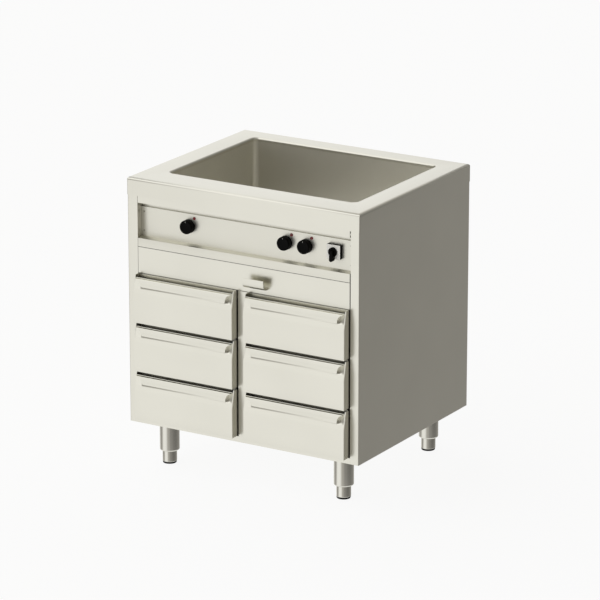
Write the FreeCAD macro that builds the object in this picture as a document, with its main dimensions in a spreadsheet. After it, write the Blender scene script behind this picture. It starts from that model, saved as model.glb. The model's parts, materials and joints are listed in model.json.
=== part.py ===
import FreeCAD, Part
import math
import os

import Sketcher
from FreeCAD import Placement, Rotation, Vector

# Bain-marie with six drawers, as a parametric document of its separate pieces.
# Millimetres, +Z up, +Y towards the back. The origin lies on the floor, under the
# middle of the overall box. Left and right are as seen from the front.

SIZES = {
    # Overall form
    "body_width": 800,
    "body_depth": 656,
    "work_height": 900,
    "body_floor": 137,
    "front_stand": 30,
    # Sheet metal
    "sheet": 1.2,
    "base_wall": 2,
    "fold": 25,
    # Worktop
    "apron": 55,
    "apron_proud": 1,
    "top_wall": 2,
    "top_edge": 10,
    "plan_corner": 3,
    "return_width": 16,
    "rim_bend": 6,
    "rim_wall": 7,
    "rim_drop": 12,
    # Basin
    "basin_front": 102,
    "basin_back": 68,
    "basin_left": 81,
    "basin_right": 75,
    "basin_corner": 18,
    "basin_depth": 205,
    "basin_wall": 1.5,
    "basin_bend": 12,
    "basin_heater_wall": 6,
    "basin_heater_inset": 60,
    # Casing
    "stile_left": 35,
    "stile_right": 29,
    "jamb": 30,
    "rail": 18,
    "bay_back": 137,
    # Control panel, from the worktop down
    "strip": 20.5,
    "slot": 15.5,
    "panel_wall": 1.5,
    "panel_height": 90,
    "panel_recess": 22,
    "panel_step": 6,
    "panel_rise": 10,
    "panel_side": 0.3,
    "ledge_rise": 3,
    "lower_strip": 25.8,
    "seam": 1.5,
    "slit": 3,
    "slit_left": 1,
    "ear": 8,
    # Controls
    "knob_left_inset": 166.5,
    "knob_middle_inset": 228,
    "knob_right_inset": 159.5,
    "knob_drop": 73.5,
    "knob_radius": 21,
    "knob_depth": 20,
    "knob_skirt": 3,
    "knob_step": 2,
    "knob_taper": 0.5,
    "knob_edge": 2,
    "knob_gap": 1,
    "spindle": 3,
    "spindle_play": 0.06,
    "spindle_reach": 24,
    "spindle_hole": 6,
    "switch_hole": 12,
    "switch_neck": 11,
    "thermostat_width": 44,
    "thermostat_depth": 35,
    "lamp_side": 18.5,
    "lamp_rise": 26,
    "lamp_radius": 5,
    "lamp_stand": 4,
    "lamp_shank": 4.2,
    "lamp_length": 17.5,
    "lamp_room": 7,
    "switch_inset": 61,
    "switch_width": 45,
    "switch_height": 42,
    "switch_depth": 12,
    "switch_body": 40,
    "dial_wall": 1.2,
    "dial_radius": 14,
    "dial_depth": 6,
    "lever_width": 12,
    "lever_reach": 21,
    "lever_depth": 8,
    "screw_head": 3.5,
    "screw_inset": 8,
    # Pull-out tray
    "tray_fold": 14,
    "tray_wall": 1.2,
    "tray_height": 79.6,
    "tray_back": 25.8,
    "tray_side": 18,
    "tray_floor_gap": 6,
    "tray_rim_gap": 15,
    "tray_rim": 10,
    "guide_wall": 1.5,
    "guide_play": 0.8,
    "tab_offset": 50,
    "tab_width": 72,
    "tab_stand": 25,
    "tab_height": 32,
    "tab_drop": 32,
    "tab_wall": 2,
    "tab_bend": 20,
    # Drawer fronts
    "column_gap": 38.5,
    "front_gap": 5.8,
    "front_wall": 1.5,
    "lean": 11.4,
    "lean_height": 54.5,
    "lip_crease": 37.5,
    "lip_top": 6.5,
    "lip_depth": 13,
    "lip_bend": 14,
    "lip_roll": 6,
    "lip_inset": 3,
    "scoop_radius": 29,
    "scoop_root": 16,
    "scoop_shift": 2,
    "grip_depth": 50.5,
    # Drawer boxes and slides
    "box_wall": 1.2,
    "box_back": 17,
    "box_low": 10,
    "box_drop": 28.5,
    "slide_room": 13,
    "slide_level": 50,
    "slide_back": 10,
    "slide_start": 32,
    "slide_wall": 1.5,
    "outer_slide_height": 45,
    "middle_slide_height": 41,
    "inner_slide_height": 36.5,
    "slide_gap": 0.5,
    # Warming elements of the drawer bay
    "bay_heater_height": 6,
    "bay_heater_inset": 22,
    "bay_heater_back": 65,
    # Legs and feet
    "leg_inset_x": 94,
    "leg_inset_y": 74,
    "leg_radius": 30.5,
    "leg_rim": 7,
    "leg_low": 41,
    "leg_bore": 78,
    "foot_radius": 22.25,
    "foot_play": 0.35,
    "foot_length": 96,
    "foot_pad": 2,
    "foot_groove": 1.5,
    # Drain
    "drain_from_side": 119,
    "drain_from_wall": 48,
    "drain_hole": 21,
    "strainer_radius": 32,
    "strainer_wall": 2,
    "strainer_stem": 35,
    "strainer_hole": 3,
    "strainer_holes": 6,
    "strainer_orbit": 7,
    "pipe_radius": 14,
    "pipe_bore": 12,
    "pipe_play": 1,
    "valve_level": 100,
    "valve_width": 36,
    "valve_length": 60,
    "valve_socket": 20,
    "outlet_radius": 13.2,
    "outlet_bore": 10,
    "outlet_length": 20,
    "valve_stem": 4,
    "valve_stem_inset": 12,
    "valve_stem_play": 0.06,
    "valve_stem_depth": 10,
    "valve_lever_length": 70,
    "valve_lever_width": 14,
    "valve_lever_wall": 3,
    "valve_lever_gap": 2,
    # Supply cable entry
    "gland_from_side": 199,
    "gland_from_rear": 52,
    "gland_bore": 6.5,
    "gland_nut": 14,
    "gland_thread": 10,
    "gland_drop": 24,
    "gland_rise": 15,
    "gland_dome": 8,
    "gland_taper": 3,
    "gland_locknut": 5,
    "gland_play": 0.2,
}

doc = FreeCAD.newDocument("bain_marie")
sheet = doc.addObject("Spreadsheet::Sheet", "Sizes")
for row, (name, amount) in enumerate(SIZES.items(), start=1):
    sheet.set(f"A{row}", name)
    sheet.set(f"B{row}", str(amount))
    sheet.setAlias(f"B{row}", name)
doc.recompute()


class Size:
    """A length: its value now, and the expression that keeps it bound to the sheet."""

    def __init__(self, value, text):
        self.value = value
        self.text = text

    def merged(self, other, sign, value):
        return Size(value, f"({self.text} {sign} {other.text})")

    def __add__(self, other):
        other = as_size(other)
        return self.merged(other, "+", self.value + other.value)

    def __radd__(self, other):
        return as_size(other) + self

    def __sub__(self, other):
        other = as_size(other)
        return self.merged(other, "-", self.value - other.value)

    def __rsub__(self, other):
        return as_size(other) - self

    def __mul__(self, other):
        other = as_size(other)
        return self.merged(other, "*", self.value * other.value)

    def __rmul__(self, other):
        return as_size(other) * self

    def __truediv__(self, other):
        other = as_size(other)
        return self.merged(other, "/", self.value / other.value)

    def __neg__(self):
        return as_size(0) - self


def as_size(item):
    return item if isinstance(item, Size) else Size(float(item), repr(float(item)))


class Sheet:
    """The driving sizes by name, each bound to its cell."""

    def __init__(self, sizes):
        for name, amount in sizes.items():
            setattr(self, name, Size(float(amount), f"Sizes.{name}"))


s = Sheet(SIZES)
NODES = []


def keep(piece):
    """Notes a finished sub-part, which is written to its own file."""
    NODES.append(piece)


def bind(item, prop, size):
    item.setExpression(prop, as_size(size).text)


def place(item, point, rotation=None):
    if rotation:
        item.Placement = Placement(Vector(0, 0, 0), rotation)
    for axis, size in zip("xyz", point):
        bind(item, f"Placement.Base.{axis}", size)
    return item


# How a solid made along +Z is turned to lie along another direction
TURNS = {
    "+z": Rotation(),
    "+y": Rotation(Vector(1, 0, 0), -90),
    "-y": Rotation(Vector(1, 0, 0), 90),
}


def block(name, low_corner, high_corner):
    """A rectangular solid between two corners."""
    solid = doc.addObject("Part::Box", name)
    for prop, start, end in zip(("Length", "Width", "Height"), low_corner, high_corner):
        bind(solid, prop, as_size(end) - as_size(start))
    return place(solid, low_corner)


def rod(name, base, direction, radius, length):
    solid = doc.addObject("Part::Cylinder", name)
    bind(solid, "Radius", radius)
    bind(solid, "Height", length)
    return place(solid, base, TURNS[direction])


def cone(name, base, direction, start_radius, end_radius, length):
    solid = doc.addObject("Part::Cone", name)
    bind(solid, "Radius1", start_radius)
    bind(solid, "Radius2", end_radius)
    bind(solid, "Height", length)
    return place(solid, base, TURNS[direction])


def fuse(name, *pieces):
    solid = doc.addObject("Part::MultiFuse", name)
    solid.Shapes = list(pieces)
    return solid


def common(name, *pieces):
    solid = doc.addObject("Part::MultiCommon", name)
    solid.Shapes = list(pieces)
    return solid


def group(name, *pieces):
    """Separate solids that share one sub-part."""
    solids = doc.addObject("Part::Compound", name)
    solids.Links = list(pieces)
    return solids


def cut(name, base, *tools):
    solid = doc.addObject("Part::Cut", name)
    solid.Base = base
    solid.Tool = tools[0] if len(tools) == 1 else fuse(name + "_tools", *tools)
    return solid


def rect(x_low, x_high, y_low, y_high, radius=None):
    corners = [(x_low, y_low), (x_high, y_low), (x_high, y_high), (x_low, y_high)]
    return [corner + (radius,) for corner in corners] if radius is not None else corners


def add_loop(sketch, corners):
    """Draws a closed loop of straight runs. A corner with a third value is rounded by it."""
    spots = [Vector(as_size(c[0]).value, as_size(c[1]).value, 0) for c in corners]
    count = len(corners)
    starts = []
    ends = []
    for i, corner in enumerate(corners):
        back = (spots[i - 1] - spots[i]).normalize()
        ahead = (spots[(i + 1) % count] - spots[i]).normalize()
        trim = 0.0
        if len(corner) == 3:
            half_turn = (math.pi - back.getAngle(ahead)) / 2
            trim = as_size(corner[2]).value * math.tan(half_turn)
        ends.append(spots[i] + back * trim)
        starts.append(spots[i] + ahead * trim)
    first = sketch.GeometryCount
    for i in range(count):
        sketch.addGeometry(Part.LineSegment(starts[i], ends[(i + 1) % count]), False)
    for i, corner in enumerate(corners):
        line_in = first + (i - 1) % count
        line_out = first + i
        if len(corner) == 2:
            sketch.addConstraint(Sketcher.Constraint("Coincident", line_in, 2, line_out, 1))
            pin(sketch, line_out, 1, corner, spots[i])
            continue
        radius = as_size(corner[2])
        inward = ((ends[i] - spots[i]) + (starts[i] - spots[i])).normalize()
        reach = ends[i].distanceToPoint(spots[i])
        centre = spots[i] + inward * math.hypot(radius.value, reach)
        middle = centre - inward * radius.value
        arc = sketch.addGeometry(Part.Arc(ends[i], middle, starts[i]), False)
        corner_point = sketch.addGeometry(Part.Point(spots[i]), True)
        pin(sketch, corner_point, 1, corner, spots[i])
        sketch.addConstraint(Sketcher.Constraint("PointOnObject", corner_point, 1, line_in))
        sketch.addConstraint(Sketcher.Constraint("PointOnObject", corner_point, 1, line_out))
        begins_first = sketch.getPoint(arc, 1).distanceToPoint(ends[i]) < 1e-6
        arc_in, arc_out = (1, 2) if begins_first else (2, 1)
        sketch.addConstraint(Sketcher.Constraint("Tangent", line_in, 2, arc, arc_in))
        sketch.addConstraint(Sketcher.Constraint("Tangent", arc, arc_out, line_out, 1))
        number = sketch.addConstraint(Sketcher.Constraint("Radius", arc, radius.value))
        bind(sketch, f"Constraints[{number}]", radius)


def pin(sketch, geometry, point, corner, spot):
    """Fixes a point at its two bound distances from the sketch's origin."""
    for kind, size, value in (("DistanceX", corner[0], spot.x), ("DistanceY", corner[1], spot.y)):
        number = sketch.addConstraint(Sketcher.Constraint(kind, -1, 1, geometry, point, value))
        bind(sketch, f"Constraints[{number}]", size)


def outline(body, plane, lift, loops):
    """A sketch on one of the body's own planes, moved along its normal by the lift."""
    sketch = body.newObject("Sketcher::SketchObject", body.Name + "_outline")
    origin_plane = next(f for f in body.Origin.OriginFeatures if f.Role == plane + "_Plane")
    sketch.AttachmentSupport = [(origin_plane, "")]
    sketch.MapMode = "FlatFace"
    bind(sketch, "AttachmentOffset.Base.z", lift)
    for corners in loops:
        add_loop(sketch, corners)
    return sketch


def folded(name, plane, start, length, *loops):
    """A body padded from an outline: XY up from start, YZ to the right of it, XZ to its front."""
    body = doc.addObject("PartDesign::Body", name)
    lift = -as_size(start) if plane == "XZ" else as_size(start)
    pad = body.newObject("PartDesign::Pad", name + "_pad")
    pad.Profile = outline(body, plane, lift, loops)
    bind(pad, "Length", length)
    body.Tip = pad
    return body


def turned(name, point, direction, profile):
    """A body turned about its own axis, from an outline of (radius, height) corners."""
    body = doc.addObject("PartDesign::Body", name)
    spin = body.newObject("PartDesign::Revolution", name + "_spin")
    sketch = outline(body, "XZ", 0, [profile])
    spin.Profile = sketch
    spin.ReferenceAxis = (sketch, ["V_Axis"])
    spin.Angle = 360
    body.Tip = spin
    return place(body, point, TURNS[direction])


def rounded(body, radius, chosen):
    """Rounds the edges of a body that the test chooses."""
    doc.recompute()
    base = body.Tip
    names = [f"Edge{i}" for i, edge in enumerate(base.Shape.Edges, start=1) if chosen(edge)]
    fillet = body.newObject("PartDesign::Fillet", body.Name + "_round")
    fillet.Base = (base, names)
    bind(fillet, "Radius", radius)
    body.Tip = fillet
    return body


def at_height(size):
    """A test for edges that lie at one height."""
    def chosen(edge):
        box = edge.BoundBox
        return max(abs(box.ZMin - size.value), abs(box.ZMax - size.value)) < 1e-4
    return chosen


# Places that several pieces share
half = s.body_width / 2
front = s.front_stand / 2 - s.body_depth / 2
back = s.front_stand / 2 + s.body_depth / 2
face = front + s.apron_proud
rear = back - s.apron_proud
side = half - s.apron_proud
top = s.work_height
shoulder = top - s.apron
low = s.body_floor
floor_top = low + s.base_wall
bay_left = s.stile_left - side
bay_right = side - s.stile_right
bay_middle = (bay_left + bay_right) / 2
lining_left = bay_left - s.sheet
lining_right = bay_right + s.sheet
bay_rear = rear - s.bay_back

# Basin's inner walls
basin_left = s.basin_left - half
basin_right = half - s.basin_right
basin_near = front + s.basin_front
basin_far = back - s.basin_back
basin_floor = top - s.basin_depth
basin_under = basin_floor - s.basin_wall

# Levels of the front, from the worktop down
strip_low = shoulder - s.strip
panel_top = strip_low - s.slot
ledge_back = panel_top - s.panel_height
ledge_front = ledge_back - s.ledge_rise
panel_low = ledge_front - s.lower_strip
tray_top = panel_low - s.seam
knob_level = shoulder - s.knob_drop
panel_face = face + s.panel_recess
panel_back = panel_face + s.panel_wall

tray_low = tray_top - s.tray_height

# Drawer rows share the height between the lower rail and the tray
rail_top = low + s.rail
drawer_low = rail_top + s.seam
drawer_pitch = (tray_low - s.seam - drawer_low + s.front_gap) / 3
front_height = drawer_pitch - s.front_gap

# Ends of the front pieces and places along them
cover_left = bay_left + s.slit_left
cover_right = bay_right - s.slit
knob_places = (cover_left + s.knob_left_inset, cover_right - s.knob_middle_inset,
               cover_right - s.knob_right_inset)
lamp_places = [(x + s.lamp_side, knob_level + s.lamp_rise) for x in knob_places]


def make_worktop():
    plan = folded("worktop_plan", "XY", shoulder, s.apron, rect(-half, half, front, back, s.plan_corner))
    side_view = [(-half, shoulder), (half, shoulder), (half, top, s.top_edge), (-half, top, s.top_edge)]
    across = folded("worktop_across", "XZ", back, s.body_depth, side_view)
    end_view = [(front, shoulder), (back, shoulder), (back, top, s.top_edge), (front, top, s.top_edge)]
    along = folded("worktop_along", "YZ", -half, s.body_width, end_view)
    form = common("worktop_form", plan, across, along)

    def hollow(name, inset, z_low, z_high):
        low_corner = (inset - half, front + inset, z_low)
        return block(name, low_corner, (half - inset, back - inset, z_high))

    rim_low = top - s.rim_drop
    under = top - s.top_wall
    wide = hollow("worktop_hollow_low", s.top_wall, shoulder + s.top_wall, rim_low)
    narrow = hollow("worktop_hollow_high", s.top_edge, rim_low, under)
    mouth = hollow("worktop_mouth", s.return_width, shoulder, shoulder + s.top_wall)
    outer = s.basin_corner + s.rim_wall
    rim = rect(basin_left - s.rim_wall, basin_right + s.rim_wall,
               basin_near - s.rim_wall, basin_far + s.rim_wall, outer)
    hole = folded("worktop_hole", "XY", rim_low, s.rim_drop, rim)
    plate = cut("worktop_plate", form, wide, narrow, mouth, hole)
    opening = rect(basin_left, basin_right, basin_near, basin_far, s.basin_corner)
    ring = folded("worktop_rim", "XY", rim_low, s.rim_drop, rim, opening)
    on_top = at_height(top)

    def inner_edge(edge):
        box = edge.BoundBox
        return on_top(edge) and box.XMin > basin_left.value - 1 and box.XMax < basin_right.value + 1 \
            and box.YMin > basin_near.value - 1 and box.YMax < basin_far.value + 1

    rounded(ring, s.rim_bend, inner_edge)
    keep(fuse("worktop", plate, ring))


def tub(name, wall, z_low, z_high, bend):
    """A closed form with rounded corners and a rounded bottom edge, for one face of the basin."""
    corner = s.basin_corner + wall
    plan = rect(basin_left - wall, basin_right + wall, basin_near - wall, basin_far + wall, corner)
    body = folded(name, "XY", z_low, as_size(z_high) - z_low, plan)
    return rounded(body, bend, at_height(as_size(z_low)))


def make_basin():
    brim = top - s.rim_drop
    outside = tub("basin_outside", s.basin_wall, basin_under, brim, s.basin_bend + s.basin_wall)
    inside = tub("basin_inside", as_size(0), basin_floor, brim + 1, s.basin_bend)
    drain = rod("basin_drain_hole", drain_at(basin_under - 1), "+z", s.drain_hole, s.basin_wall + 2)
    keep(cut("basin", outside, inside, drain))
    inset = s.basin_heater_inset
    low_corner = (basin_left + inset, basin_near + inset, basin_under - s.basin_heater_wall)
    high_corner = (basin_right - inset, basin_far - inset - s.drain_from_wall, basin_under)
    keep(block("basin_heater", low_corner, high_corner))


def drain_at(z):
    return (basin_left + s.drain_from_side, basin_far - s.drain_from_wall, z)


def make_drain():
    flange_top = basin_floor + s.strainer_wall
    stem = s.drain_hole - s.pipe_play
    depth = s.strainer_stem + s.basin_wall
    profile = [
        (s.pipe_bore, -depth), (stem, -depth), (stem, 0), (s.strainer_radius, 0),
        (s.strainer_radius, s.strainer_wall), (0, s.strainer_wall), (0, 0), (s.pipe_bore, 0),
    ]
    cup = turned("strainer_cup", drain_at(basin_floor), "+z", profile)
    holes = []
    for i in range(int(s.strainer_holes.value)):
        angle = 2 * math.pi * i / s.strainer_holes.value
        x, y, z = drain_at(basin_floor - 1)
        x = x + s.strainer_orbit * math.cos(angle)
        y = y + s.strainer_orbit * math.sin(angle)
        holes.append(rod(f"strainer_hole_{i}", (x, y, z), "+z", s.strainer_hole, flange_top - basin_floor + 2))
    keep(cut("drain_strainer", cup, *holes))

    pipe_top = basin_under - s.strainer_stem
    valve_top = s.valve_level + s.valve_width / 2
    x, y, z = drain_at(valve_top)
    reach = s.valve_width / 2
    body_low = (x - reach, y - reach, s.valve_level - reach)
    body_high = (x + reach, y - reach + s.valve_length, valve_top)
    body = block("valve_body", body_low, body_high)
    socket_low = (x, y, pipe_top - s.valve_socket)
    socket = rod("valve_socket", socket_low, "+z", s.drain_hole - s.pipe_play, s.valve_socket)
    pipe = rod("valve_pipe", (x, y, valve_top), "+z", s.pipe_radius, pipe_top - valve_top)
    outlet_y = y - reach + s.valve_length
    outlet = rod("valve_outlet", (x, outlet_y, s.valve_level), "+y", s.outlet_radius, s.outlet_length)
    down_bore = rod("valve_down_bore", (x, y, s.valve_level), "+z", s.pipe_bore, pipe_top + 1 - s.valve_level)
    out_length = s.valve_length - reach + s.outlet_length + 1
    out_bore = rod("valve_out_bore", (x, y, s.valve_level), "+y", s.outlet_bore, out_length)
    stem_y = outlet_y - s.valve_stem_inset
    seat_radius = s.valve_stem + s.valve_stem_play
    seat_low = valve_top - s.valve_stem_depth / 2
    seat = rod("valve_seat", (x, stem_y, seat_low), "+z", seat_radius, s.valve_stem_depth)
    keep(cut("drain_valve", fuse("valve_form", body, socket, pipe, outlet), down_bore, out_bore, seat))

    lever_low = valve_top + s.valve_lever_gap
    stem_low = seat_low + s.spindle_play
    stem = rod("lever_stem", (x, stem_y, stem_low), "+z", s.valve_stem, lever_low - stem_low)
    width = s.valve_lever_width / 2
    hub = rod("lever_hub", (x, stem_y, lever_low), "+z", width, s.valve_lever_wall)
    arm_high = (x + s.valve_lever_length, stem_y + width, lever_low + s.valve_lever_wall)
    arm = block("lever_arm", (x, stem_y - width, lever_low), arm_high)
    keep(fuse("drain_valve_lever", stem, hub, arm))


def make_side_panel(name, sign, edge):
    """An outer side with its folded stile, the stile's inner return, and a fold at the rear."""
    wall = s.sheet * sign
    outer = side * sign
    points = [
        (outer, face, s.plan_corner), (edge, face), (edge, face + s.jamb),
        (edge + wall, face + s.jamb), (edge + wall, face + s.sheet), (outer - wall, face + s.sheet),
        (outer - wall, rear - s.sheet), (outer - s.fold * sign, rear - s.sheet),
        (outer - s.fold * sign, rear), (outer, rear, s.plan_corner),
    ]
    keep(folded(name, "XY", floor_top, shoulder - floor_top, points))


def make_casing():
    make_side_panel("side_panel_left", -1, bay_left)
    make_side_panel("side_panel_right", 1, bay_right)
    panel_side = side - s.sheet
    low_corner = (-panel_side, rear - 2 * s.sheet, floor_top)
    keep(block("back_panel", low_corner, (panel_side, rear - s.sheet, shoulder)))

    plate = folded("base_plate", "XY", low, s.base_wall, rect(-side, side, face, rear, s.plan_corner))
    rail = block("base_rail", (bay_left, face, floor_top), (bay_right, face + s.sheet, rail_top))
    brace_high = (bay_right, bay_rear, rail_top)
    brace = block("base_brace", (bay_left, bay_rear - s.sheet, floor_top), brace_high)
    x, y, z = drain_at(low - 1)
    pipe_hole = rod("base_pipe_hole", (x, y, z), "+z", s.pipe_radius + s.pipe_play, s.base_wall + 2)
    gland = gland_at(low - 1)
    gland_hole = rod("base_gland_hole", gland, "+z", s.gland_thread + s.gland_play, s.base_wall + 2)
    keep(cut("base_panel", fuse("base_form", plate, rail, brace), pipe_hole, gland_hole))

    lining_low = (lining_left - s.sheet, face + s.sheet, floor_top)
    keep(block("bay_wall_left", lining_low, (lining_left, bay_rear, shoulder)))
    lining_low = (lining_right, face + s.sheet, floor_top)
    keep(block("bay_wall_right", lining_low, (lining_right + s.sheet, bay_rear, shoulder)))

    ceiling_top = tray_low - s.seam
    ceiling = ceiling_top - s.sheet
    near = face + 2 * s.sheet
    lip = folded("ceiling_form", "YZ", lining_left, lining_right - lining_left, [
        (near, ceiling - s.fold), (near + s.sheet, ceiling - s.fold), (near + s.sheet, ceiling),
        (bay_rear, ceiling), (bay_rear, ceiling_top), (near, ceiling_top),
    ])
    clear = s.jamb + s.seam
    corner_left = block("ceiling_notch_left", (lining_left - 1, face, ceiling - s.fold - 1),
                        (cover_left, face + clear, ceiling_top + 1))
    corner_right = block("ceiling_notch_right", (cover_right, face, ceiling - s.fold - 1),
                         (lining_right + 1, face + clear, ceiling_top + 1))
    mullion = s.column_gap / 2 - s.slit
    post_notch = block("ceiling_post_notch", (bay_middle - mullion, face, ceiling - s.fold - 1),
                       (bay_middle + mullion, near + s.sheet, ceiling))
    keep(cut("bay_ceiling", lip, corner_left, corner_right, post_notch))

    left = bay_middle - mullion
    right = bay_middle + mullion
    post = folded("partition_form", "XY", floor_top, ceiling - floor_top, [
        (left, face), (right, face), (right, bay_rear - s.sheet), (right - s.sheet, bay_rear - s.sheet),
        (right - s.sheet, face + s.sheet), (left + s.sheet, face + s.sheet),
        (left + s.sheet, bay_rear - s.sheet), (left, bay_rear - s.sheet),
    ])
    rail_room = block("partition_rail_room", (left - 1, face - 1, floor_top - 1),
                      (right + 1, face + s.sheet, rail_top))
    keep(cut("centre_partition", post, rail_room))


def make_bay_heaters():
    mullion = s.column_gap / 2 - s.slit
    plates = []
    spans = ((lining_left, bay_middle - mullion), (bay_middle + mullion, lining_right))
    for i, (x_low, x_high) in enumerate(spans):
        y_low = face + s.jamb + s.bay_heater_inset
        low_corner = (x_low + s.bay_heater_inset, y_low, floor_top)
        high_corner = (x_high - s.bay_heater_inset, bay_rear - s.bay_heater_back,
                       floor_top + s.bay_heater_height)
        plates.append(block(f"bay_heater_{i}", low_corner, high_corner))
    keep(group("bay_heaters", *plates))


def make_top_rail():
    deep = face + s.panel_recess - 2 * s.sheet
    keep(folded("top_rail", "YZ", cover_left, cover_right - cover_left, [
        (face, strip_low), (deep, strip_low), (deep, strip_low + s.sheet),
        (face + s.sheet, strip_low + s.sheet), (face + s.sheet, shoulder - s.sheet),
        (deep, shoulder - s.sheet), (deep, shoulder), (face, shoulder),
    ]))


def panel_hole(name, x, z, radius):
    return rod(name, (x, panel_face - 1, z), "+y", radius, s.panel_wall + 2)


def make_control_panel():
    wall = s.panel_wall
    deep = face + s.jamb + s.ear
    step = panel_face + s.panel_step
    rise = strip_low + s.panel_rise
    sheet_form = folded("control_sheet", "YZ", cover_left, cover_right - cover_left, [
        (face, panel_low), (deep, panel_low), (deep, panel_low + wall), (face + wall, panel_low + wall),
        (face + wall, ledge_front - wall), (panel_back, ledge_back - wall), (panel_back, panel_top - wall),
        (step + wall, panel_top - wall), (step + wall, rise - wall), (deep, rise - wall), (deep, rise),
        (step, rise), (step, panel_top), (panel_face, panel_top), (panel_face, ledge_back),
        (face, ledge_front),
    ])
    sides = []
    for end, x_low, x_high in (("left", bay_left + s.panel_side, cover_left),
                               ("right", cover_right, bay_right - s.panel_side)):
        sides.append(block(f"control_side_{end}", (x_low, panel_face, ledge_back),
                           (x_high, panel_back, panel_top)))
        sides.append(block(f"control_rise_{end}", (x_low, step, panel_top - wall),
                           (x_high, step + wall, rise)))
    ear_near = face + s.jamb + s.seam
    ears = []
    for end, x_low, x_high in (("left", lining_left, cover_left), ("right", cover_right, lining_right)):
        for level, z in (("low", panel_low), ("high", rise - wall)):
            corner = (x_high, deep, z + wall)
            ears.append(block(f"control_ear_{end}_{level}", (x_low, ear_near, z), corner))
    holes = []
    for i, (x, lamp) in enumerate(zip(knob_places, lamp_places)):
        holes.append(panel_hole(f"spindle_hole_{i}", x, knob_level, s.spindle_hole))
        holes.append(panel_hole(f"lamp_hole_{i}", lamp[0], lamp[1], s.lamp_shank))
    holes.append(panel_hole("switch_hole", cover_right - s.switch_inset, knob_level, s.switch_hole))
    keep(cut("control_panel", fuse("control_form", sheet_form, *sides, *ears), *holes))


def make_screws():
    """Small domed heads at both ends of the recessed panel."""
    heads = []
    for end, x in (("left", cover_left + s.screw_inset), ("right", cover_right - s.screw_inset)):
        for level, z in (("low", ledge_back + 2 * s.screw_inset), ("high", panel_top - 2 * s.screw_inset)):
            profile = [(0, 0), (s.screw_head, 0), (s.screw_head, s.screw_head / 4, s.screw_head / 8),
                       (s.screw_head / 2, s.screw_head / 2), (0, s.screw_head / 2)]
            heads.append(turned(f"screw_{end}_{level}", (x, panel_face, z), "-y", profile))
    keep(group("panel_screws", *heads))


def make_knob(name, x):
    """A round knob with a skirt, on the spindle that turns in its thermostat."""
    near = panel_face - s.knob_gap
    reach = s.knob_gap + s.panel_wall + s.spindle_reach
    neck = s.knob_radius - s.knob_step
    profile = [
        (0, -reach), (s.spindle, -reach), (s.spindle, 0), (s.knob_radius, 0),
        (s.knob_radius, s.knob_skirt), (neck, s.knob_skirt + s.knob_step / 2),
        (neck - s.knob_taper, s.knob_depth, s.knob_edge), (0, s.knob_depth),
    ]
    keep(turned(name, (x, near, knob_level), "-y", profile))


def make_controls():
    bodies = []
    reach = s.thermostat_width / 2
    for i, x in enumerate(knob_places):
        case = block(f"thermostat_case_{i}", (x - reach, panel_back, knob_level - reach),
                     (x + reach, panel_back + s.thermostat_depth, knob_level + reach))
        bore = rod(f"thermostat_bore_{i}", (x, panel_back - 1, knob_level), "+y",
                   s.spindle + s.spindle_play, s.spindle_reach + 2)
        lamp_x, lamp_z = lamp_places[i]
        lamp_room = rod(f"thermostat_lamp_room_{i}", (lamp_x, panel_back - 1, lamp_z), "+y",
                        s.lamp_room, s.thermostat_depth + 2)
        bodies.append(cut(f"thermostat_{i}", case, bore, lamp_room))
    keep(group("thermostats", *bodies))
    for name, x in zip(("knob_left", "knob_middle", "knob_right"), knob_places):
        make_knob(name, x)

    lamps = []
    for i, (x, z) in enumerate(lamp_places):
        profile = [
            (0, -s.lamp_length), (s.lamp_shank, -s.lamp_length), (s.lamp_shank, 0),
            (s.lamp_radius, 0), (s.lamp_radius, s.lamp_stand, s.lamp_radius / 2), (0, s.lamp_stand),
        ]
        lamps.append(turned(f"lamp_{i}", (x, panel_face, z), "-y", profile))
    keep(group("pilot_lamps", *lamps))


def make_switch():
    x = cover_right - s.switch_inset
    wide = s.switch_width / 2
    tall = s.switch_height / 2
    plate_back = panel_face - s.switch_depth
    plate_face = plate_back - s.dial_wall
    bezel = block("switch_bezel", (x - wide, plate_back, knob_level - tall),
                  (x + wide, panel_face, knob_level + tall))
    neck = rod("switch_neck", (x, panel_face, knob_level), "+y", s.switch_neck, s.panel_wall)
    reach = s.switch_body / 2
    body = block("switch_body_block", (x - reach, panel_back, knob_level - reach),
                 (x + reach, panel_back + s.switch_body, knob_level + reach))
    bore_radius = s.spindle + s.spindle_play
    bore = rod("switch_bore", (x, plate_back - 1, knob_level), "+y", bore_radius, s.spindle_reach + 1)
    keep(cut("switch_block", fuse("switch_form", bezel, neck, body), bore))

    plate = block("switch_plate_form", (x - wide, plate_face, knob_level - tall),
                  (x + wide, plate_back, knob_level + tall))
    plate_hole = rod("switch_plate_hole", (x, plate_face - 1, knob_level), "+y", bore_radius, s.dial_wall + 2)
    keep(cut("switch_plate", plate, plate_hole))

    gap = s.seam / 3
    dial_back = plate_face - gap
    dial_face = dial_back - s.dial_depth
    spindle_end = plate_back + s.spindle_reach - 1
    spindle = rod("switch_spindle", (x, dial_back, knob_level), "+y", s.spindle, spindle_end - dial_back)
    dial = rod("switch_dial", (x, dial_back, knob_level), "-y", s.dial_radius, s.dial_depth)
    arm = s.lever_width / 2
    lever_face = dial_face - s.lever_depth
    grip = block("switch_lever", (x - arm, lever_face, knob_level - s.lever_reach),
                 (x + arm, dial_back, knob_level + arm))
    tip = rod("switch_lever_tip", (x, lever_face, knob_level - s.lever_reach), "+y", arm,
              dial_back - lever_face)
    keep(fuse("switch_knob", spindle, dial, grip, tip))


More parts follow.
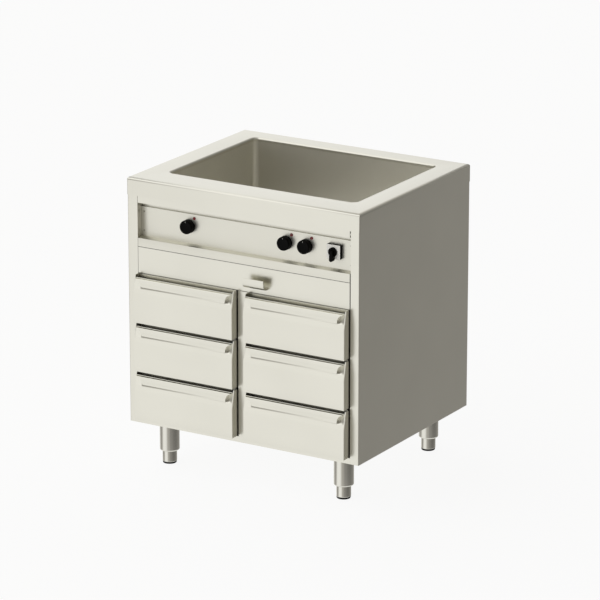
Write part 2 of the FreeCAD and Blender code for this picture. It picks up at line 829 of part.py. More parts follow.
def make_tray():
    depth = s.tray_fold
    wall = s.tray_wall
    panel = block("tray_panel", (cover_left, face, tray_low), (cover_right, face + depth, tray_top))
    hollow = block("tray_panel_hollow", (cover_left + wall, face + wall, tray_low + wall),
                   (cover_right - wall, face + depth + 1, tray_top - wall))
    tab_low = tray_top - s.tab_drop - s.tab_height
    tab_high = tray_top - s.tab_drop
    out = face - s.tab_stand
    tab_points = [
        (face, tab_low), (face, tab_low + s.tab_wall),
        (out + s.tab_wall, tab_low + s.tab_wall, s.tab_bend - s.tab_wall),
        (out + s.tab_wall, tab_high), (out, tab_high), (out, tab_low, s.tab_bend),
    ]
    tab = folded("tray_tab", "YZ", bay_middle + s.tab_offset - s.tab_width / 2, s.tab_width, tab_points)
    keep(fuse("tray_front", cut("tray_panel_shell", panel, hollow), tab))

    pan_left = lining_left + s.tray_side
    pan_right = lining_right - s.tray_side
    pan_near = face + wall
    pan_far = bay_rear - s.tray_back
    pan_low = tray_low + s.tray_floor_gap
    pan_high = tray_top - s.tray_rim_gap
    rim = s.tray_rim
    pan = block("pan_form", (pan_left, pan_near, pan_low), (pan_right, pan_far, pan_high))
    inside = block("pan_hollow", (pan_left + wall, pan_near + wall, pan_low + wall),
                   (pan_right - wall, pan_far - wall, pan_high + 1))
    rim_near = face + s.jamb + s.ear
    rims = [
        block("pan_rim_left", (pan_left - rim, rim_near, pan_high - wall), (pan_left, pan_far, pan_high)),
        block("pan_rim_right", (pan_right, rim_near, pan_high - wall), (pan_right + rim, pan_far, pan_high)),
    ]
    keep(fuse("tray_pan", cut("pan_shell", pan, inside), *rims))

    guides = []
    thin = s.guide_wall
    slot_low = pan_high - wall - s.guide_play
    slot_high = pan_high + s.guide_play
    reach = s.tray_side - s.guide_play * 2
    for name, web, sign in (("left", lining_left, 1), ("right", lining_right, -1)):
        tip = web + reach * sign
        inner = web + thin * sign
        points = [
            (web, slot_low - thin), (tip, slot_low - thin), (tip, slot_low), (inner, slot_low),
            (inner, slot_high), (tip, slot_high), (tip, slot_high + thin), (web, slot_high + thin),
        ]
        start = bay_rear - s.fold
        length = start - (face + s.jamb + s.seam)
        guides.append(folded(f"tray_guide_{name}", "XZ", start, length, points))
    keep(group("tray_guides", *guides))


# Drawer columns: name, then the front's left and right edges, then the bay's walls beside it
front_reach = s.column_gap / 2
post_reach = s.column_gap / 2 - s.slit
COLUMNS = (
    ("left", cover_left, bay_middle - front_reach, lining_left, bay_middle - post_reach),
    ("right", bay_middle + front_reach, cover_right, bay_middle + post_reach, lining_right),
)
ROWS = ("bottom", "middle", "top")


def make_drawer_front(name, x_low, x_high, z_low):
    """A hollow pressed front whose upper part leans back, with a rolled lip over a grip channel."""
    skin = front - s.front_stand
    wall = s.front_wall
    high = z_low + front_height
    crease = high - s.lip_crease
    width = x_high - x_low
    form = folded(name + "_form", "YZ", x_low, width, [
        (skin, z_low), (face, z_low), (face, high), (skin + s.lean, high), (skin, high - s.lean_height),
    ])
    leaned = s.lean * (s.lean_height - s.lip_crease) / s.lean_height
    lip_high = high - s.lip_top
    lip_back = skin + s.lip_depth
    lip_shift = x_low + s.lip_inset
    lip = folded(name + "_lip", "YZ", lip_shift, width - 2 * s.lip_inset, [
        (skin + leaned + 1, crease), (lip_back, crease), (lip_back, lip_high, s.lip_roll),
        (skin, lip_high, s.lip_roll), (skin, crease + 2 * s.lip_roll, s.lip_bend),
    ])
    scoops = []
    for end, x in (("left", x_low - s.scoop_shift), ("right", x_high + s.scoop_shift)):
        scoops.append(cone(f"{name}_scoop_{end}", (x, skin - 1, crease), "+y", s.scoop_radius,
                           s.scoop_root, s.lean + 2))
    hollow = block(name + "_hollow", (x_low + wall, skin + wall, z_low + wall),
                   (x_high - wall, face + 1, high - s.grip_depth))
    channel_low = high - s.grip_depth + wall
    channel = folded(name + "_channel", "YZ", x_low + wall, width - 2 * wall, [
        (skin + 3 * wall, channel_low), (face - wall, channel_low), (face - wall, high + 1),
        (skin + s.lean + wall, high + 1), (skin + s.lean + wall, high), (lip_back, lip_high - s.lip_roll),
    ])
    mouth = block(name + "_mouth", (x_low + s.lip_inset, skin - 1, lip_high),
                  (x_high - s.lip_inset, face - wall, high + 1))
    shaped_lip = cut(name + "_shaped_lip", lip, *scoops)
    keep(fuse(name, cut(name + "_shell", form, hollow, channel, mouth), shaped_lip))


def channel_section(web, sign, height, width, level):
    """The section of a slide member: a web with a flange at its top and bottom."""
    wall = s.slide_wall
    reach = height / 2
    tip = web + width * sign
    inner = web + wall * sign
    return [
        (web, level - reach), (tip, level - reach), (tip, level - reach + wall),
        (inner, level - reach + wall), (inner, level + reach - wall), (tip, level + reach - wall),
        (tip, level + reach), (web, level + reach),
    ]


def make_drawer(column, row, z_low):
    name = f"drawer_{column[0]}_{ROWS[row]}"
    x_low, x_high, web_left, web_right = column[1:]
    make_drawer_front(name + "_front", x_low, x_high, z_low)

    wall = s.box_wall
    box_left = web_left + s.slide_room
    box_right = web_right - s.slide_room
    box_floor = z_low + s.box_low
    box_high = z_low + front_height - s.box_drop
    box_far = bay_rear - s.box_back
    case = block(name + "_case", (box_left, face, box_floor), (box_right, box_far, box_high))
    inside = block(name + "_inside", (box_left + wall, face + wall, box_floor + wall),
                   (box_right - wall, box_far - wall, box_high + 1))
    keep(cut(name + "_box", case, inside))

    level = z_low + s.slide_level
    start = bay_rear - s.slide_back
    length = start - face - s.slide_start
    gap = s.slide_gap
    wall = s.slide_wall
    members = {"outer": [], "middle": [], "inner": []}
    for web, sign in ((web_left, 1), (web_right, -1)):
        mark = "left" if sign == 1 else "right"
        outer_width = s.slide_room - 2 * wall - 2 * gap
        outer = channel_section(web, sign, s.outer_slide_height, outer_width, level)
        members["outer"].append((mark, outer))
        middle_web = web + (wall + gap) * sign
        middle_width = s.slide_room - 2 * wall - 2 * gap
        middle = channel_section(middle_web, sign, s.middle_slide_height, middle_width, level)
        members["middle"].append((mark, middle))
        inner_web = web + s.slide_room * sign
        inner_width = s.slide_room - 2 * wall - 2 * gap
        inner = channel_section(inner_web, -sign, s.inner_slide_height, inner_width, level)
        members["inner"].append((mark, inner))
    solids = {}
    for kind, sections in members.items():
        solids[kind] = [
            folded(f"{name}_{kind}_{mark}", "XZ", start, length, section)
            for mark, section in sections
        ]
    keep(group(name + "_slide_middle", *solids["middle"]))
    keep(group(name + "_slide_inner", *solids["inner"]))
    return solids["outer"]


def make_drawers():
    outer_slides = []
    for column in COLUMNS:
        for row in range(len(ROWS)):
            outer_slides += make_drawer(column, row, drawer_low + row * drawer_pitch)
    keep(group("slides_outer", *outer_slides))


def leg_places():
    x = half - s.leg_inset_x
    near = front + s.leg_inset_y
    far = back - s.leg_inset_y
    return [("front_left", -x, near), ("front_right", x, near), ("rear_left", -x, far), ("rear_right", x, far)]


def make_legs():
    tubes = []
    bore = s.foot_radius + s.foot_play
    for name, x, y in leg_places():
        profile = [
            (bore, s.leg_low), (s.leg_radius, s.leg_low, s.leg_rim), (s.leg_radius, low), (0, low),
            (0, s.leg_low + s.leg_bore), (bore, s.leg_low + s.leg_bore),
        ]
        tubes.append(turned(f"leg_tube_{name}", (x, y, as_size(0)), "+z", profile))
    keep(group("leg_tubes", *tubes))
    for name, x, y in leg_places():
        ring = s.foot_radius - s.foot_groove / 2
        pad = s.foot_radius - s.foot_groove
        groove_low = s.leg_low - s.foot_groove
        profile = [
            (0, 0), (pad, 0), (pad, s.foot_pad), (s.foot_radius, s.foot_pad), (s.foot_radius, groove_low),
            (ring, groove_low), (ring, s.leg_low), (s.foot_radius, s.leg_low),
            (s.foot_radius, s.foot_length), (0, s.foot_length),
        ]
        keep(turned(f"foot_{name}", (x, y, as_size(0)), "+z", profile))


def gland_at(z):
    return (side - s.gland_from_side, rear - s.gland_from_rear, z)


def make_gland():
    """A cable gland through the base, with its nut under the base and its locknut above."""
    nut = s.gland_nut
    thread = s.gland_thread
    above = s.base_wall
    locknut = above + s.gland_locknut
    profile = [
        (s.gland_bore, -s.gland_drop), (nut - s.gland_taper, -s.gland_drop, 1),
        (nut, s.gland_dome - s.gland_drop), (nut, 0),
        (thread, 0), (thread, above), (nut, above), (nut, locknut), (thread, locknut),
        (thread, s.gland_rise), (s.gland_bore, s.gland_rise),
    ]
    keep(turned("cable_gland", gland_at(low), "+z", profile))


make_worktop()
make_basin()
make_drain()
make_casing()
make_bay_heaters()
make_top_rail()
make_control_panel()
make_screws()
make_controls()
make_switch()
make_tray()
make_drawers()
make_legs()
make_gland()
doc.recompute()

faults = []
for item in doc.Objects:
    if "Invalid" in item.State or "Error" in item.State:
        faults.append(f"{item.Name} is {item.State}")
for node in NODES:
    shape = node.Shape
    if shape.isNull() or not shape.isValid() or not shape.Solids:
        faults.append(f"{node.Label} has no valid solid")
if faults:
    raise RuntimeError("; ".join(faults))

os.makedirs("parts", exist_ok=True)
whole = FreeCAD.BoundBox()
for node in NODES:
    node.Shape.exportStep(f"parts/{node.Label}.step")
    whole.add(node.Shape.BoundBox)
    print(f"{node.Label}: {len(node.Shape.Solids)} solids, {node.Shape.Volume / 1000:.1f} cm3")
print(f"{len(NODES)} sub-parts, box {whole}")
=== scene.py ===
# %% [markdown]
# A free-standing bain-marie: a stainless steel counter with a heated basin in its
# top, a pull-out tray and six drawers. The construction comes ready made from the
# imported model. This script gives every part its finish, adds the fine detail that
# a designer would leave out of the construction, and sets up a small photo studio.

# %% Load the construction
import json
import math

import bmesh
import bpy
from mathutils import Matrix, Vector


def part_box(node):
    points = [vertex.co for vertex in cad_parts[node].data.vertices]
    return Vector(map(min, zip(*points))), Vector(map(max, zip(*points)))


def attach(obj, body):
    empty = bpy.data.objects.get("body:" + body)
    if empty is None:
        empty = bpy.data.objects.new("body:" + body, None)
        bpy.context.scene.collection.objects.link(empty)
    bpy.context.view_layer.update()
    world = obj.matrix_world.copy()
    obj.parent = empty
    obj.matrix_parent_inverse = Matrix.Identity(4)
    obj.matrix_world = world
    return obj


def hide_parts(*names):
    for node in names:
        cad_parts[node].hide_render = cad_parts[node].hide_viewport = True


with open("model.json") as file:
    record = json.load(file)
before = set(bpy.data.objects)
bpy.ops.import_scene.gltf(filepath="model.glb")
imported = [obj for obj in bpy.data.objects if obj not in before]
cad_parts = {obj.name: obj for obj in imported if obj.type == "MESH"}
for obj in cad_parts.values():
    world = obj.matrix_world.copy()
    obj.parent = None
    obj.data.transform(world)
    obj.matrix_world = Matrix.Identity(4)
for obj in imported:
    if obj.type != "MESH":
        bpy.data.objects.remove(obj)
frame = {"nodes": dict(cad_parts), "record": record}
NODES = frame["nodes"]
BODIES = frame["record"]["behaviour"]["bodies"]
BODY_OF = {node: body for body, nodes in BODIES.items() for node in nodes}
SLOT_OF = {part["node"]: part["material_slot"] for part in frame["record"]["subparts"]}
JOINT_PLACE = {joint["child"]: joint["pos_m"] for joint in frame["record"]["behaviour"]["joints"]
               if "pos_m" in joint}
MOUNT_PLACE = {mount["name"]: mount["pos_m"] for mount in frame["record"]["mounts"]}
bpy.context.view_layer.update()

# %% [markdown]
# The camera stands where the photographer's did. Its place was worked out from the
# straight edges of the counter, so the picture and the render can be laid over
# each other.

# %% Camera
CAMERA_PLACE = (5.8811, -9.6898, 3.9662)
CAMERA_TILT, CAMERA_TURN = 72.99, 31.21
FOCAL_LENGTH, SENSOR_WIDTH = 236.6, 36.0
FARTHEST_SEEN = 100.0

scene = bpy.context.scene
camera_data = bpy.data.cameras.new("camera")
camera_data.lens = FOCAL_LENGTH
camera_data.sensor_width = SENSOR_WIDTH
camera_data.clip_end = FARTHEST_SEEN
camera = bpy.data.objects.new("camera", camera_data)
camera.location = CAMERA_PLACE
camera.rotation_euler = (math.radians(CAMERA_TILT), 0.0, math.radians(CAMERA_TURN))
scene.collection.objects.link(camera)
scene.camera = camera
scene.view_settings.view_transform = "Standard"


# %% [markdown]
# Colours are picked as screen values, and shaders work in linear light. One
# function does the change. A second one adds a node, sets its values and joins its
# inputs, so each material below reads as a short list. A third one starts a
# material with an empty node tree.

# %% Colour and node helpers
def srgb(code):
    """The linear colour of a six-figure screen colour."""
    values = [int(code[i:i + 2], 16) / 255 for i in (0, 2, 4)]
    return [v / 12.92 if v <= 0.04045 else ((v + 0.055) / 1.055) ** 2.4 for v in values] + [1.0]


def add(tree, kind, settings=None, **inputs):
    """Adds a node and fills its inputs.

    An input is called by its name, with underscores for spaces, or by i and its number.
    A pair of a node and one of its outputs is a link, and anything else is a value.
    """
    node = tree.nodes.new(kind)
    for key, value in (settings or {}).items():
        setattr(node, key, value)
    for key, value in inputs.items():
        numbered = key[0] == "i" and key[1:].isdigit()
        socket = node.inputs[int(key[1:])] if numbered else node.inputs[key.replace("_", " ")]
        if isinstance(value, tuple) and isinstance(value[0], bpy.types.Node):
            tree.links.new(value[0].outputs[value[1]], socket)
        else:
            socket.default_value = value
    return node


def new_material(name):
    """A material and its empty node tree."""
    material = bpy.data.materials.new(name)
    material.use_nodes = True
    material.node_tree.nodes.clear()
    return material, material.node_tree


# %% [markdown]
# The studio is a pale floor in soft light. Metal shows its surroundings, so the
# sky here is a big light tent, over pale ground. The tent is white on the left and
# in front, and grey on the right and behind. That turns the right side of the
# counter dark while its fronts stay bright. A narrow grey strip at the far left
# gives the round legs a dark edge. The tent lies behind everything, so reflections
# take it from the world and the floor is left out of them.
#
# Each level of the tent is given at a place between its far left, 0, and the middle
# of its grey side, 1. Grey parts are a little warm. The tent is brighter above the
# horizon, and the ground takes over well below it.

# %% Studio
GREY_SIDE = (0.979, 0.202, 0.0)
TENT_LEVELS = ((0.0, 0.30), (0.045, 0.42), (0.11, 1.0), (0.27, 1.0), (0.36, 0.93), (0.48, 0.50),
               (0.59, 0.42), (0.66, 0.40), (0.74, 0.27), (0.825, 0.275), (0.985, 0.17))
LEAST_WHITE, GREY_TINT = 0.9, (1.0, 0.972, 0.93)
TENT_STRENGTH, TENT_ABOVE = 1.12, 1.16
HORIZON_LOW, HORIZON_HIGH = -0.25, 0.1
GROUND_LEVEL, GROUND_EDGE, GROUND_FULL = 0.9, -0.35, -0.75
FLOOR_REACH, FLOOR_GLOW = 40.0, 0.9
KEY_PLACE, KEY_AIM = (-3.0, -2.4, 4.6), (0, 0, 0.5)
KEY_SIZE, KEY_POWER = 5.0, 12


def tent_colour(level):
    tint = (1.0, 1.0, 1.0) if level > LEAST_WHITE else GREY_TINT
    return [level * share for share in tint] + [1.0]


def make_world():
    world = bpy.data.worlds.new("light_tent")
    world.use_nodes = True
    tree = world.node_tree
    tree.nodes.clear()
    direction = add(tree, "ShaderNodeTexCoord")
    facing = add(tree, "ShaderNodeVectorMath", {"operation": "DOT_PRODUCT"},
                 i0=(direction, "Generated"), i1=GREY_SIDE)
    share = add(tree, "ShaderNodeMapRange", Value=(facing, "Value"), From_Min=-1.0, From_Max=1.0)
    tent = add(tree, "ShaderNodeValToRGB", Fac=(share, "Result"))
    stops = tent.color_ramp.elements
    stops.remove(stops[1])
    for i, (position, level) in enumerate(TENT_LEVELS):
        stop = stops[0] if i == 0 else stops.new(position)
        stop.position = position
        stop.color = tent_colour(level)
    parts = add(tree, "ShaderNodeSeparateXYZ", Vector=(direction, "Generated"))
    ground = add(tree, "ShaderNodeMapRange", {"interpolation_type": "SMOOTHSTEP"}, Value=(parts, "Z"),
                 From_Min=GROUND_EDGE, From_Max=GROUND_FULL, To_Min=0.0, To_Max=1.0)
    tent_and_ground = add(tree, "ShaderNodeMix", {"data_type": "RGBA"}, i0=(ground, "Result"),
                          i6=(tent, "Color"), i7=[GROUND_LEVEL] * 3 + [1.0])
    strength = add(tree, "ShaderNodeMapRange", {"interpolation_type": "SMOOTHSTEP"}, Value=(parts, "Z"),
                   From_Min=HORIZON_LOW, From_Max=HORIZON_HIGH, To_Min=TENT_STRENGTH, To_Max=TENT_ABOVE)
    path = add(tree, "ShaderNodeLightPath")
    seen = add(tree, "ShaderNodeMath", {"operation": "MAXIMUM"},
               i0=(path, "Is Camera Ray"), i1=(path, "Is Transmission Ray"))
    tent_light = add(tree, "ShaderNodeBackground", Color=(tent_and_ground, 2), Strength=(strength, 0))
    backdrop = add(tree, "ShaderNodeBackground", Color=srgb("ffffff"), Strength=1.0)
    sky = add(tree, "ShaderNodeMixShader", i0=(seen, 0), i1=(tent_light, 0), i2=(backdrop, 0))
    add(tree, "ShaderNodeOutputWorld", Surface=(sky, 0))
    world.cycles.sampling_method = "NONE"
    scene.world = world


def make_floor():
    """A pale floor. Seen directly it is mostly plain white, so it meets the backdrop without a line."""
    mesh = bpy.data.meshes.new("floor")
    corners = [(x * FLOOR_REACH, y * FLOOR_REACH, 0) for x, y in ((-1, -1), (1, -1), (1, 1), (-1, 1))]
    mesh.from_pydata(corners, [], [(0, 1, 2, 3)])
    material, tree = new_material("pale_floor")
    path = add(tree, "ShaderNodeLightPath")
    seen = add(tree, "ShaderNodeMath", {"operation": "MAXIMUM"},
               i0=(path, "Is Camera Ray"), i1=(path, "Is Glossy Ray"))
    seen = add(tree, "ShaderNodeMath", {"operation": "MAXIMUM"},
               i0=(seen, 0), i1=(path, "Is Transmission Ray"))
    share = add(tree, "ShaderNodeMath", {"operation": "MULTIPLY"}, i0=(seen, 0), i1=FLOOR_GLOW)
    paint = add(tree, "ShaderNodeBsdfDiffuse", Color=srgb("f6f6f3"))
    white = add(tree, "ShaderNodeEmission", Color=srgb("ffffff"), Strength=1.0)
    mixed = add(tree, "ShaderNodeMixShader", i0=(share, 0), i1=(paint, 0), i2=(white, 0))
    add(tree, "ShaderNodeOutputMaterial", Surface=(mixed, 0))
    mesh.materials.append(material)
    floor = bpy.data.objects.new("floor", mesh)
    floor.visible_glossy = False
    scene.collection.objects.link(floor)


def make_lamp(name, place, aim, size, power):
    data = bpy.data.lights.new(name, "AREA")
    data.shape = "DISK"
    data.size = size
    data.energy = power
    lamp = bpy.data.objects.new(name, data)
    lamp.location = place
    lamp.rotation_euler = (Vector(aim) - Vector(place)).to_track_quat("-Z", "Y").to_euler()
    scene.collection.objects.link(lamp)


make_world()
make_floor()
make_lamp("key_lamp", KEY_PLACE, KEY_AIM, KEY_SIZE, KEY_POWER)
print("studio ready")


# %% [markdown]
# Most of the counter is AISI 304 stainless steel sheet with a brushed finish. The
# fine parallel scratches stretch every reflection across the grain, so the sheet
# looks satin, not mirror bright. The grain is a noise pattern that is long along
# the sheet and narrow across it, and on a tube it runs up and down. Real scratches
# are about 0.1 mm wide, too fine for the picture, so they are drawn ten times as
# coarse and very faint. In narrow gaps the colour is darkened by painted shade,
# which an ambient occlusion node gives.

# %% Brushed steel
GRAIN_ACROSS = 1 / 0.0012
GRAIN_ALONG = 1 / 0.060
GRAIN_RELIEF, GRAIN_DEPTH, GRAIN_GLOSS = 0.015, 0.0002, 0.01
CLOUDS, CLOUD_TINT = 5.0, 0.015
# Painted shade in narrow gaps: how far the occlusion node looks, and the occlusion at which the darkening is
# full and at which it stops.
GAP_SHADE_REACH, GAP_SHADE_FULL, GAP_SHADE_NONE = 0.03, 0.02, 0.35
TURNED_SIDEWAYS = 0.7


def grain_noise(tree, place, scales):
    mapping = add(tree, "ShaderNodeMapping", Vector=(place, "Object"), Scale=scales)
    return add(tree, "ShaderNodeTexNoise", Vector=(mapping, 0), Scale=1.0, Detail=3.0, Roughness=0.6)


def brushed_steel(name, code, roughness, gap_shade=0.2, upright=False):
    """Brushed sheet, or a tube if upright. The fourth argument is the share of colour left in the narrowest
    gaps, as painted shade.
    """
    material, tree = new_material(name)
    place = add(tree, "ShaderNodeTexCoord")
    if upright:
        grain = (grain_noise(tree, place, (GRAIN_ACROSS, GRAIN_ACROSS, GRAIN_ALONG)), "Fac")
    else:
        along_x = grain_noise(tree, place, (GRAIN_ALONG, GRAIN_ACROSS, GRAIN_ACROSS))
        along_y = grain_noise(tree, place, (GRAIN_ACROSS, GRAIN_ALONG, GRAIN_ACROSS))
        facing = add(tree, "ShaderNodeNewGeometry")
        parts = add(tree, "ShaderNodeSeparateXYZ", Vector=(facing, "True Normal"))
        size = add(tree, "ShaderNodeMath", {"operation": "ABSOLUTE"}, i0=(parts, "X"))
        sideways = add(tree, "ShaderNodeMath", {"operation": "GREATER_THAN"},
                       i0=(size, 0), i1=TURNED_SIDEWAYS)
        grain = (add(tree, "ShaderNodeMix", {"data_type": "FLOAT"}, i0=(sideways, 0),
                     i2=(along_x, "Fac"), i3=(along_y, "Fac")), 0)
    cloud = add(tree, "ShaderNodeTexNoise", Vector=(place, "Object"), Scale=CLOUDS, Detail=2.0)
    tint = add(tree, "ShaderNodeMapRange", Value=(cloud, "Fac"), From_Min=0.3, From_Max=0.7,
               To_Min=1 - CLOUD_TINT, To_Max=1 + CLOUD_TINT)
    # Painted shade: the colour darkens where the occlusion node finds nearby surfaces, down to the given
    # share.
    gap_occlusion = add(tree, "ShaderNodeAmbientOcclusion", {"samples": 8}, Distance=GAP_SHADE_REACH)
    painted_gap_shade = add(tree, "ShaderNodeMapRange", Value=(gap_occlusion, "AO"), From_Min=GAP_SHADE_FULL, From_Max=GAP_SHADE_NONE,
                To_Min=gap_shade, To_Max=1.0)
    level = add(tree, "ShaderNodeMath", {"operation": "MULTIPLY"}, i0=(tint, 0), i1=(painted_gap_shade, 0))
    colour = add(tree, "ShaderNodeVectorMath", {"operation": "SCALE"}, i0=srgb(code)[:3], Scale=(level, 0))
    rough = add(tree, "ShaderNodeMapRange", Value=grain, From_Min=0.2, From_Max=0.8,
                To_Min=roughness - GRAIN_GLOSS, To_Max=roughness + GRAIN_GLOSS)
    relief = add(tree, "ShaderNodeBump", Height=grain, Strength=GRAIN_RELIEF, Distance=GRAIN_DEPTH)
    shader = add(tree, "ShaderNodeBsdfPrincipled", Base_Color=(colour, 0), Metallic=1.0,
                 Roughness=(rough, 0), Normal=(relief, 0))
    add(tree, "ShaderNodeOutputMaterial", Surface=(shader, 0))
    return material


satin_steel = brushed_steel("satin_stainless_304", "d9d7cc", 0.30)
panel_steel = brushed_steel("fine_satin_stainless_304", "d9d7cc", 0.38)
casing_steel = brushed_steel("casing_stainless_304", "d9d7cc", 0.30)
inner_steel = brushed_steel("inner_stainless_430", "cccac0", 0.34)
# The basin's sheet has a lighter colour than the other 304 sheet and less gap shade. This is painted light
# that lifts the shade inside the deep basin.
basin_steel_lightened = brushed_steel("basin_stainless_304_lightened", "e4e2d9", 0.36, gap_shade=0.8)
tube_steel = brushed_steel("tube_stainless_304", "d6d4cb", 0.14, upright=True)
zinc_steel = brushed_steel("zinc_plated_slides", "b3b6b9", 0.30)
print("brushed steels ready")


# %% [markdown]
# The plastics are moulded. Their surface has the fine texture of the mould, which
# a small bump gives, and their gloss depends on the polish of the tool. The small
# metals are turned, cast or plated, without a grain that shows.

# %% Plastics and small metals
MOULD_PIT, MOULD_RELIEF, MOULD_DEPTH, MOULD_GLOSS = 0.0004, 0.1, 0.0001, 0.04


def moulded(name, code, roughness, metallic=0.0, clear=0.0, sheen=0.5):
    """Plastic or small metal. Clear is the share of a clear coat, and sheen is the plastic's shine."""
    material, tree = new_material(name)
    place = add(tree, "ShaderNodeTexCoord")
    texture = add(tree, "ShaderNodeTexNoise", Vector=(place, "Object"), Scale=1 / MOULD_PIT, Detail=2.0)
    relief = add(tree, "ShaderNodeBump", Height=(texture, "Fac"), Strength=MOULD_RELIEF, Distance=MOULD_DEPTH)
    rough = add(tree, "ShaderNodeMapRange", Value=(texture, "Fac"), From_Min=0.3, From_Max=0.7,
                To_Min=roughness - MOULD_GLOSS, To_Max=roughness + MOULD_GLOSS)
    shader = add(tree, "ShaderNodeBsdfPrincipled", Base_Color=srgb(code), Metallic=metallic,
                 Roughness=(rough, 0), Specular_IOR_Level=sheen, Coat_Weight=clear, Normal=(relief, 0))
    add(tree, "ShaderNodeOutputMaterial", Surface=(shader, 0))
    return material


black_phenolic = moulded("black_phenolic_knob", "040403", 0.5, sheen=0.06)
white_abs = moulded("white_abs_plate", "f6f5f0", 0.45)
white_print = moulded("white_pad_print", "b9b8b2", 0.6)
dark_print = moulded("black_pad_print", "2a2a28", 0.6)
cream_thermoset = moulded("cream_thermoset_case", "e6e1d2", 0.5)
black_nylon = moulded("black_nylon_gland", "1b1b1a", 0.45)
black_rubber = moulded("black_rubber_pad", "0c0c0b", 0.7, sheen=0.2)
red_polycarbonate = moulded("red_polycarbonate_lens", "7c141d", 0.18, clear=0.5)
heater_aluminium = moulded("milled_aluminium_plate", "c2c3c4", 0.45, metallic=1.0)
nickel_brass = moulded("nickel_plated_brass", "d2d2cf", 0.2, metallic=1.0)
dipped_lever = moulded("red_dipped_lever", "a52a24", 0.4)
screw_steel = moulded("turned_screw_steel", "bcbab0", 0.28, metallic=1.0)

SLOT_FINISH = {
    "brushed_stainless": satin_steel,
    "casing_stainless": casing_steel,
    "inner_stainless": inner_steel,
    "leg_stainless": tube_steel,
    "basin_stainless": basin_steel_lightened,
    "zinc_slides": zinc_steel,
    "heater_aluminium": heater_aluminium,
    "valve_chrome": nickel_brass,
    "lever_paint": dipped_lever,
    "thermostat_plastic": cream_thermoset,
    "red_lens": red_polycarbonate,
    "black_plastic": black_phenolic,
    "white_plastic": white_abs,
    "black_polymer": black_nylon,
    "screw_steel": screw_steel,
}


def finish_node(name, material):
    slots = NODES[name].data.materials
    if not slots:
        slots.append(material)
    for i in range(len(slots)):
        slots[i] = material


for node, slot in SLOT_OF.items():
    finish_node(node, SLOT_FINISH[slot])
finish_node("control_panel", panel_steel)
print("finishes on", len(SLOT_OF), "nodes")


# %% [markdown]
# Every piece that is added below ends the same way: its mesh gets a material and
# goes into an object at the origin, which rides on a body of the construction and
# may take the place of one of its nodes. Smooth faces keep a hard line only where
# they meet at more than the given angle.

# %% Helper that finishes a piece
def finish_piece(name, mesh, body, material=None, instead_of=None, hard_angle=35):
    mesh.name = name
    if material is not None:
        mesh.materials.clear()
        mesh.materials.append(material)
    mesh.polygons.foreach_set("use_smooth", [True] * len(mesh.polygons))
    mesh.set_sharp_from_angle(angle=math.radians(hard_angle))
    piece = bpy.data.objects.new(name, mesh)
    scene.collection.objects.link(piece)
    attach(piece, body)
    if instead_of:
        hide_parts(instead_of)
    return piece


def mesh_from(work, merge=False):
    """Makes a mesh with its faces turned outwards, and with doubled points merged if asked."""
    if merge:
        bmesh.ops.remove_doubles(work, verts=work.verts, dist=1e-6)
    bmesh.ops.recalc_face_normals(work, faces=work.faces)
    mesh = bpy.data.meshes.new("piece")
    work.to_mesh(mesh)
    work.free()
    return mesh


# %% [markdown]
# Pressed, rolled and folded parts of the construction have the right shape, but
# their curves are made of flat facets. A copy of each is merged into one skin and
# shaded smooth. Sheet edges are never razor sharp: a fine bevel stands for the
# deburred edge, and it catches a fine line of light.

# %% Smooth copies of the curved and folded parts
HARD_ANGLE, BEVEL_ANGLE = 32, 40
DEBURRED = 0.00015
WELD, FLAT_ANGLE = 2e-6, 0.4


def smooth_copy(node, edge=None):
    work = bmesh.new()
    work.from_mesh(NODES[node].data)
    bmesh.ops.remove_doubles(work, verts=work.verts, dist=WELD)
    bmesh.ops.dissolve_limit(work, angle_limit=math.radians(FLAT_ANGLE), verts=work.verts, edges=work.edges)
    mesh = bpy.data.meshes.new(node + "_skin")
    work.to_mesh(mesh)
    work.free()
    material = NODES[node].data.materials[0]
    piece = finish_piece(node + "_skin", mesh, BODY_OF[node], material, node, HARD_ANGLE)
    if edge:
        bevel = piece.modifiers.new("deburred_edge", "BEVEL")
        bevel.width = edge
        bevel.segments = 2
        bevel.limit_method = "ANGLE"
        bevel.angle_limit = math.radians(BEVEL_ANGLE)
        bevel.harden_normals = True


for node in ("worktop", "basin", "drain_strainer", "side_panel_left", "side_panel_right", "tray_pan",
             "drain_valve", "drain_valve_lever", "thermostats"):
    smooth_copy(node)
for node in ("tray_front", "top_rail", "control_panel", "base_panel", "switch_block", "switch_plate"):
    smooth_copy(node, edge=DEBURRED)
print("smooth copies made")


# %% [markdown]
# A drawer front is one pressed sheet. It rises straight, leans back from two thirds
# of its height, and swells forward again as a rolled lip to pull it by. A hollow is
# pressed in at each end of the lip, shallow at the left and deep at the right.
# Behind the lip is the channel for the fingers. The front is lofted: one closed
# outline, of height and depth, is worked out for each place along the drawer, and
# neighbouring outlines are joined. Near the ends the places crowd together and
# follow the rim of the hollow, so its edge comes out as a clean curve.
#
# Heights are measured from the lower edge of the front, and depths from its skin.
# The bead is the back of the roll, a dish is a hollow, and a cheek is the plate that
# closes an end of the front.

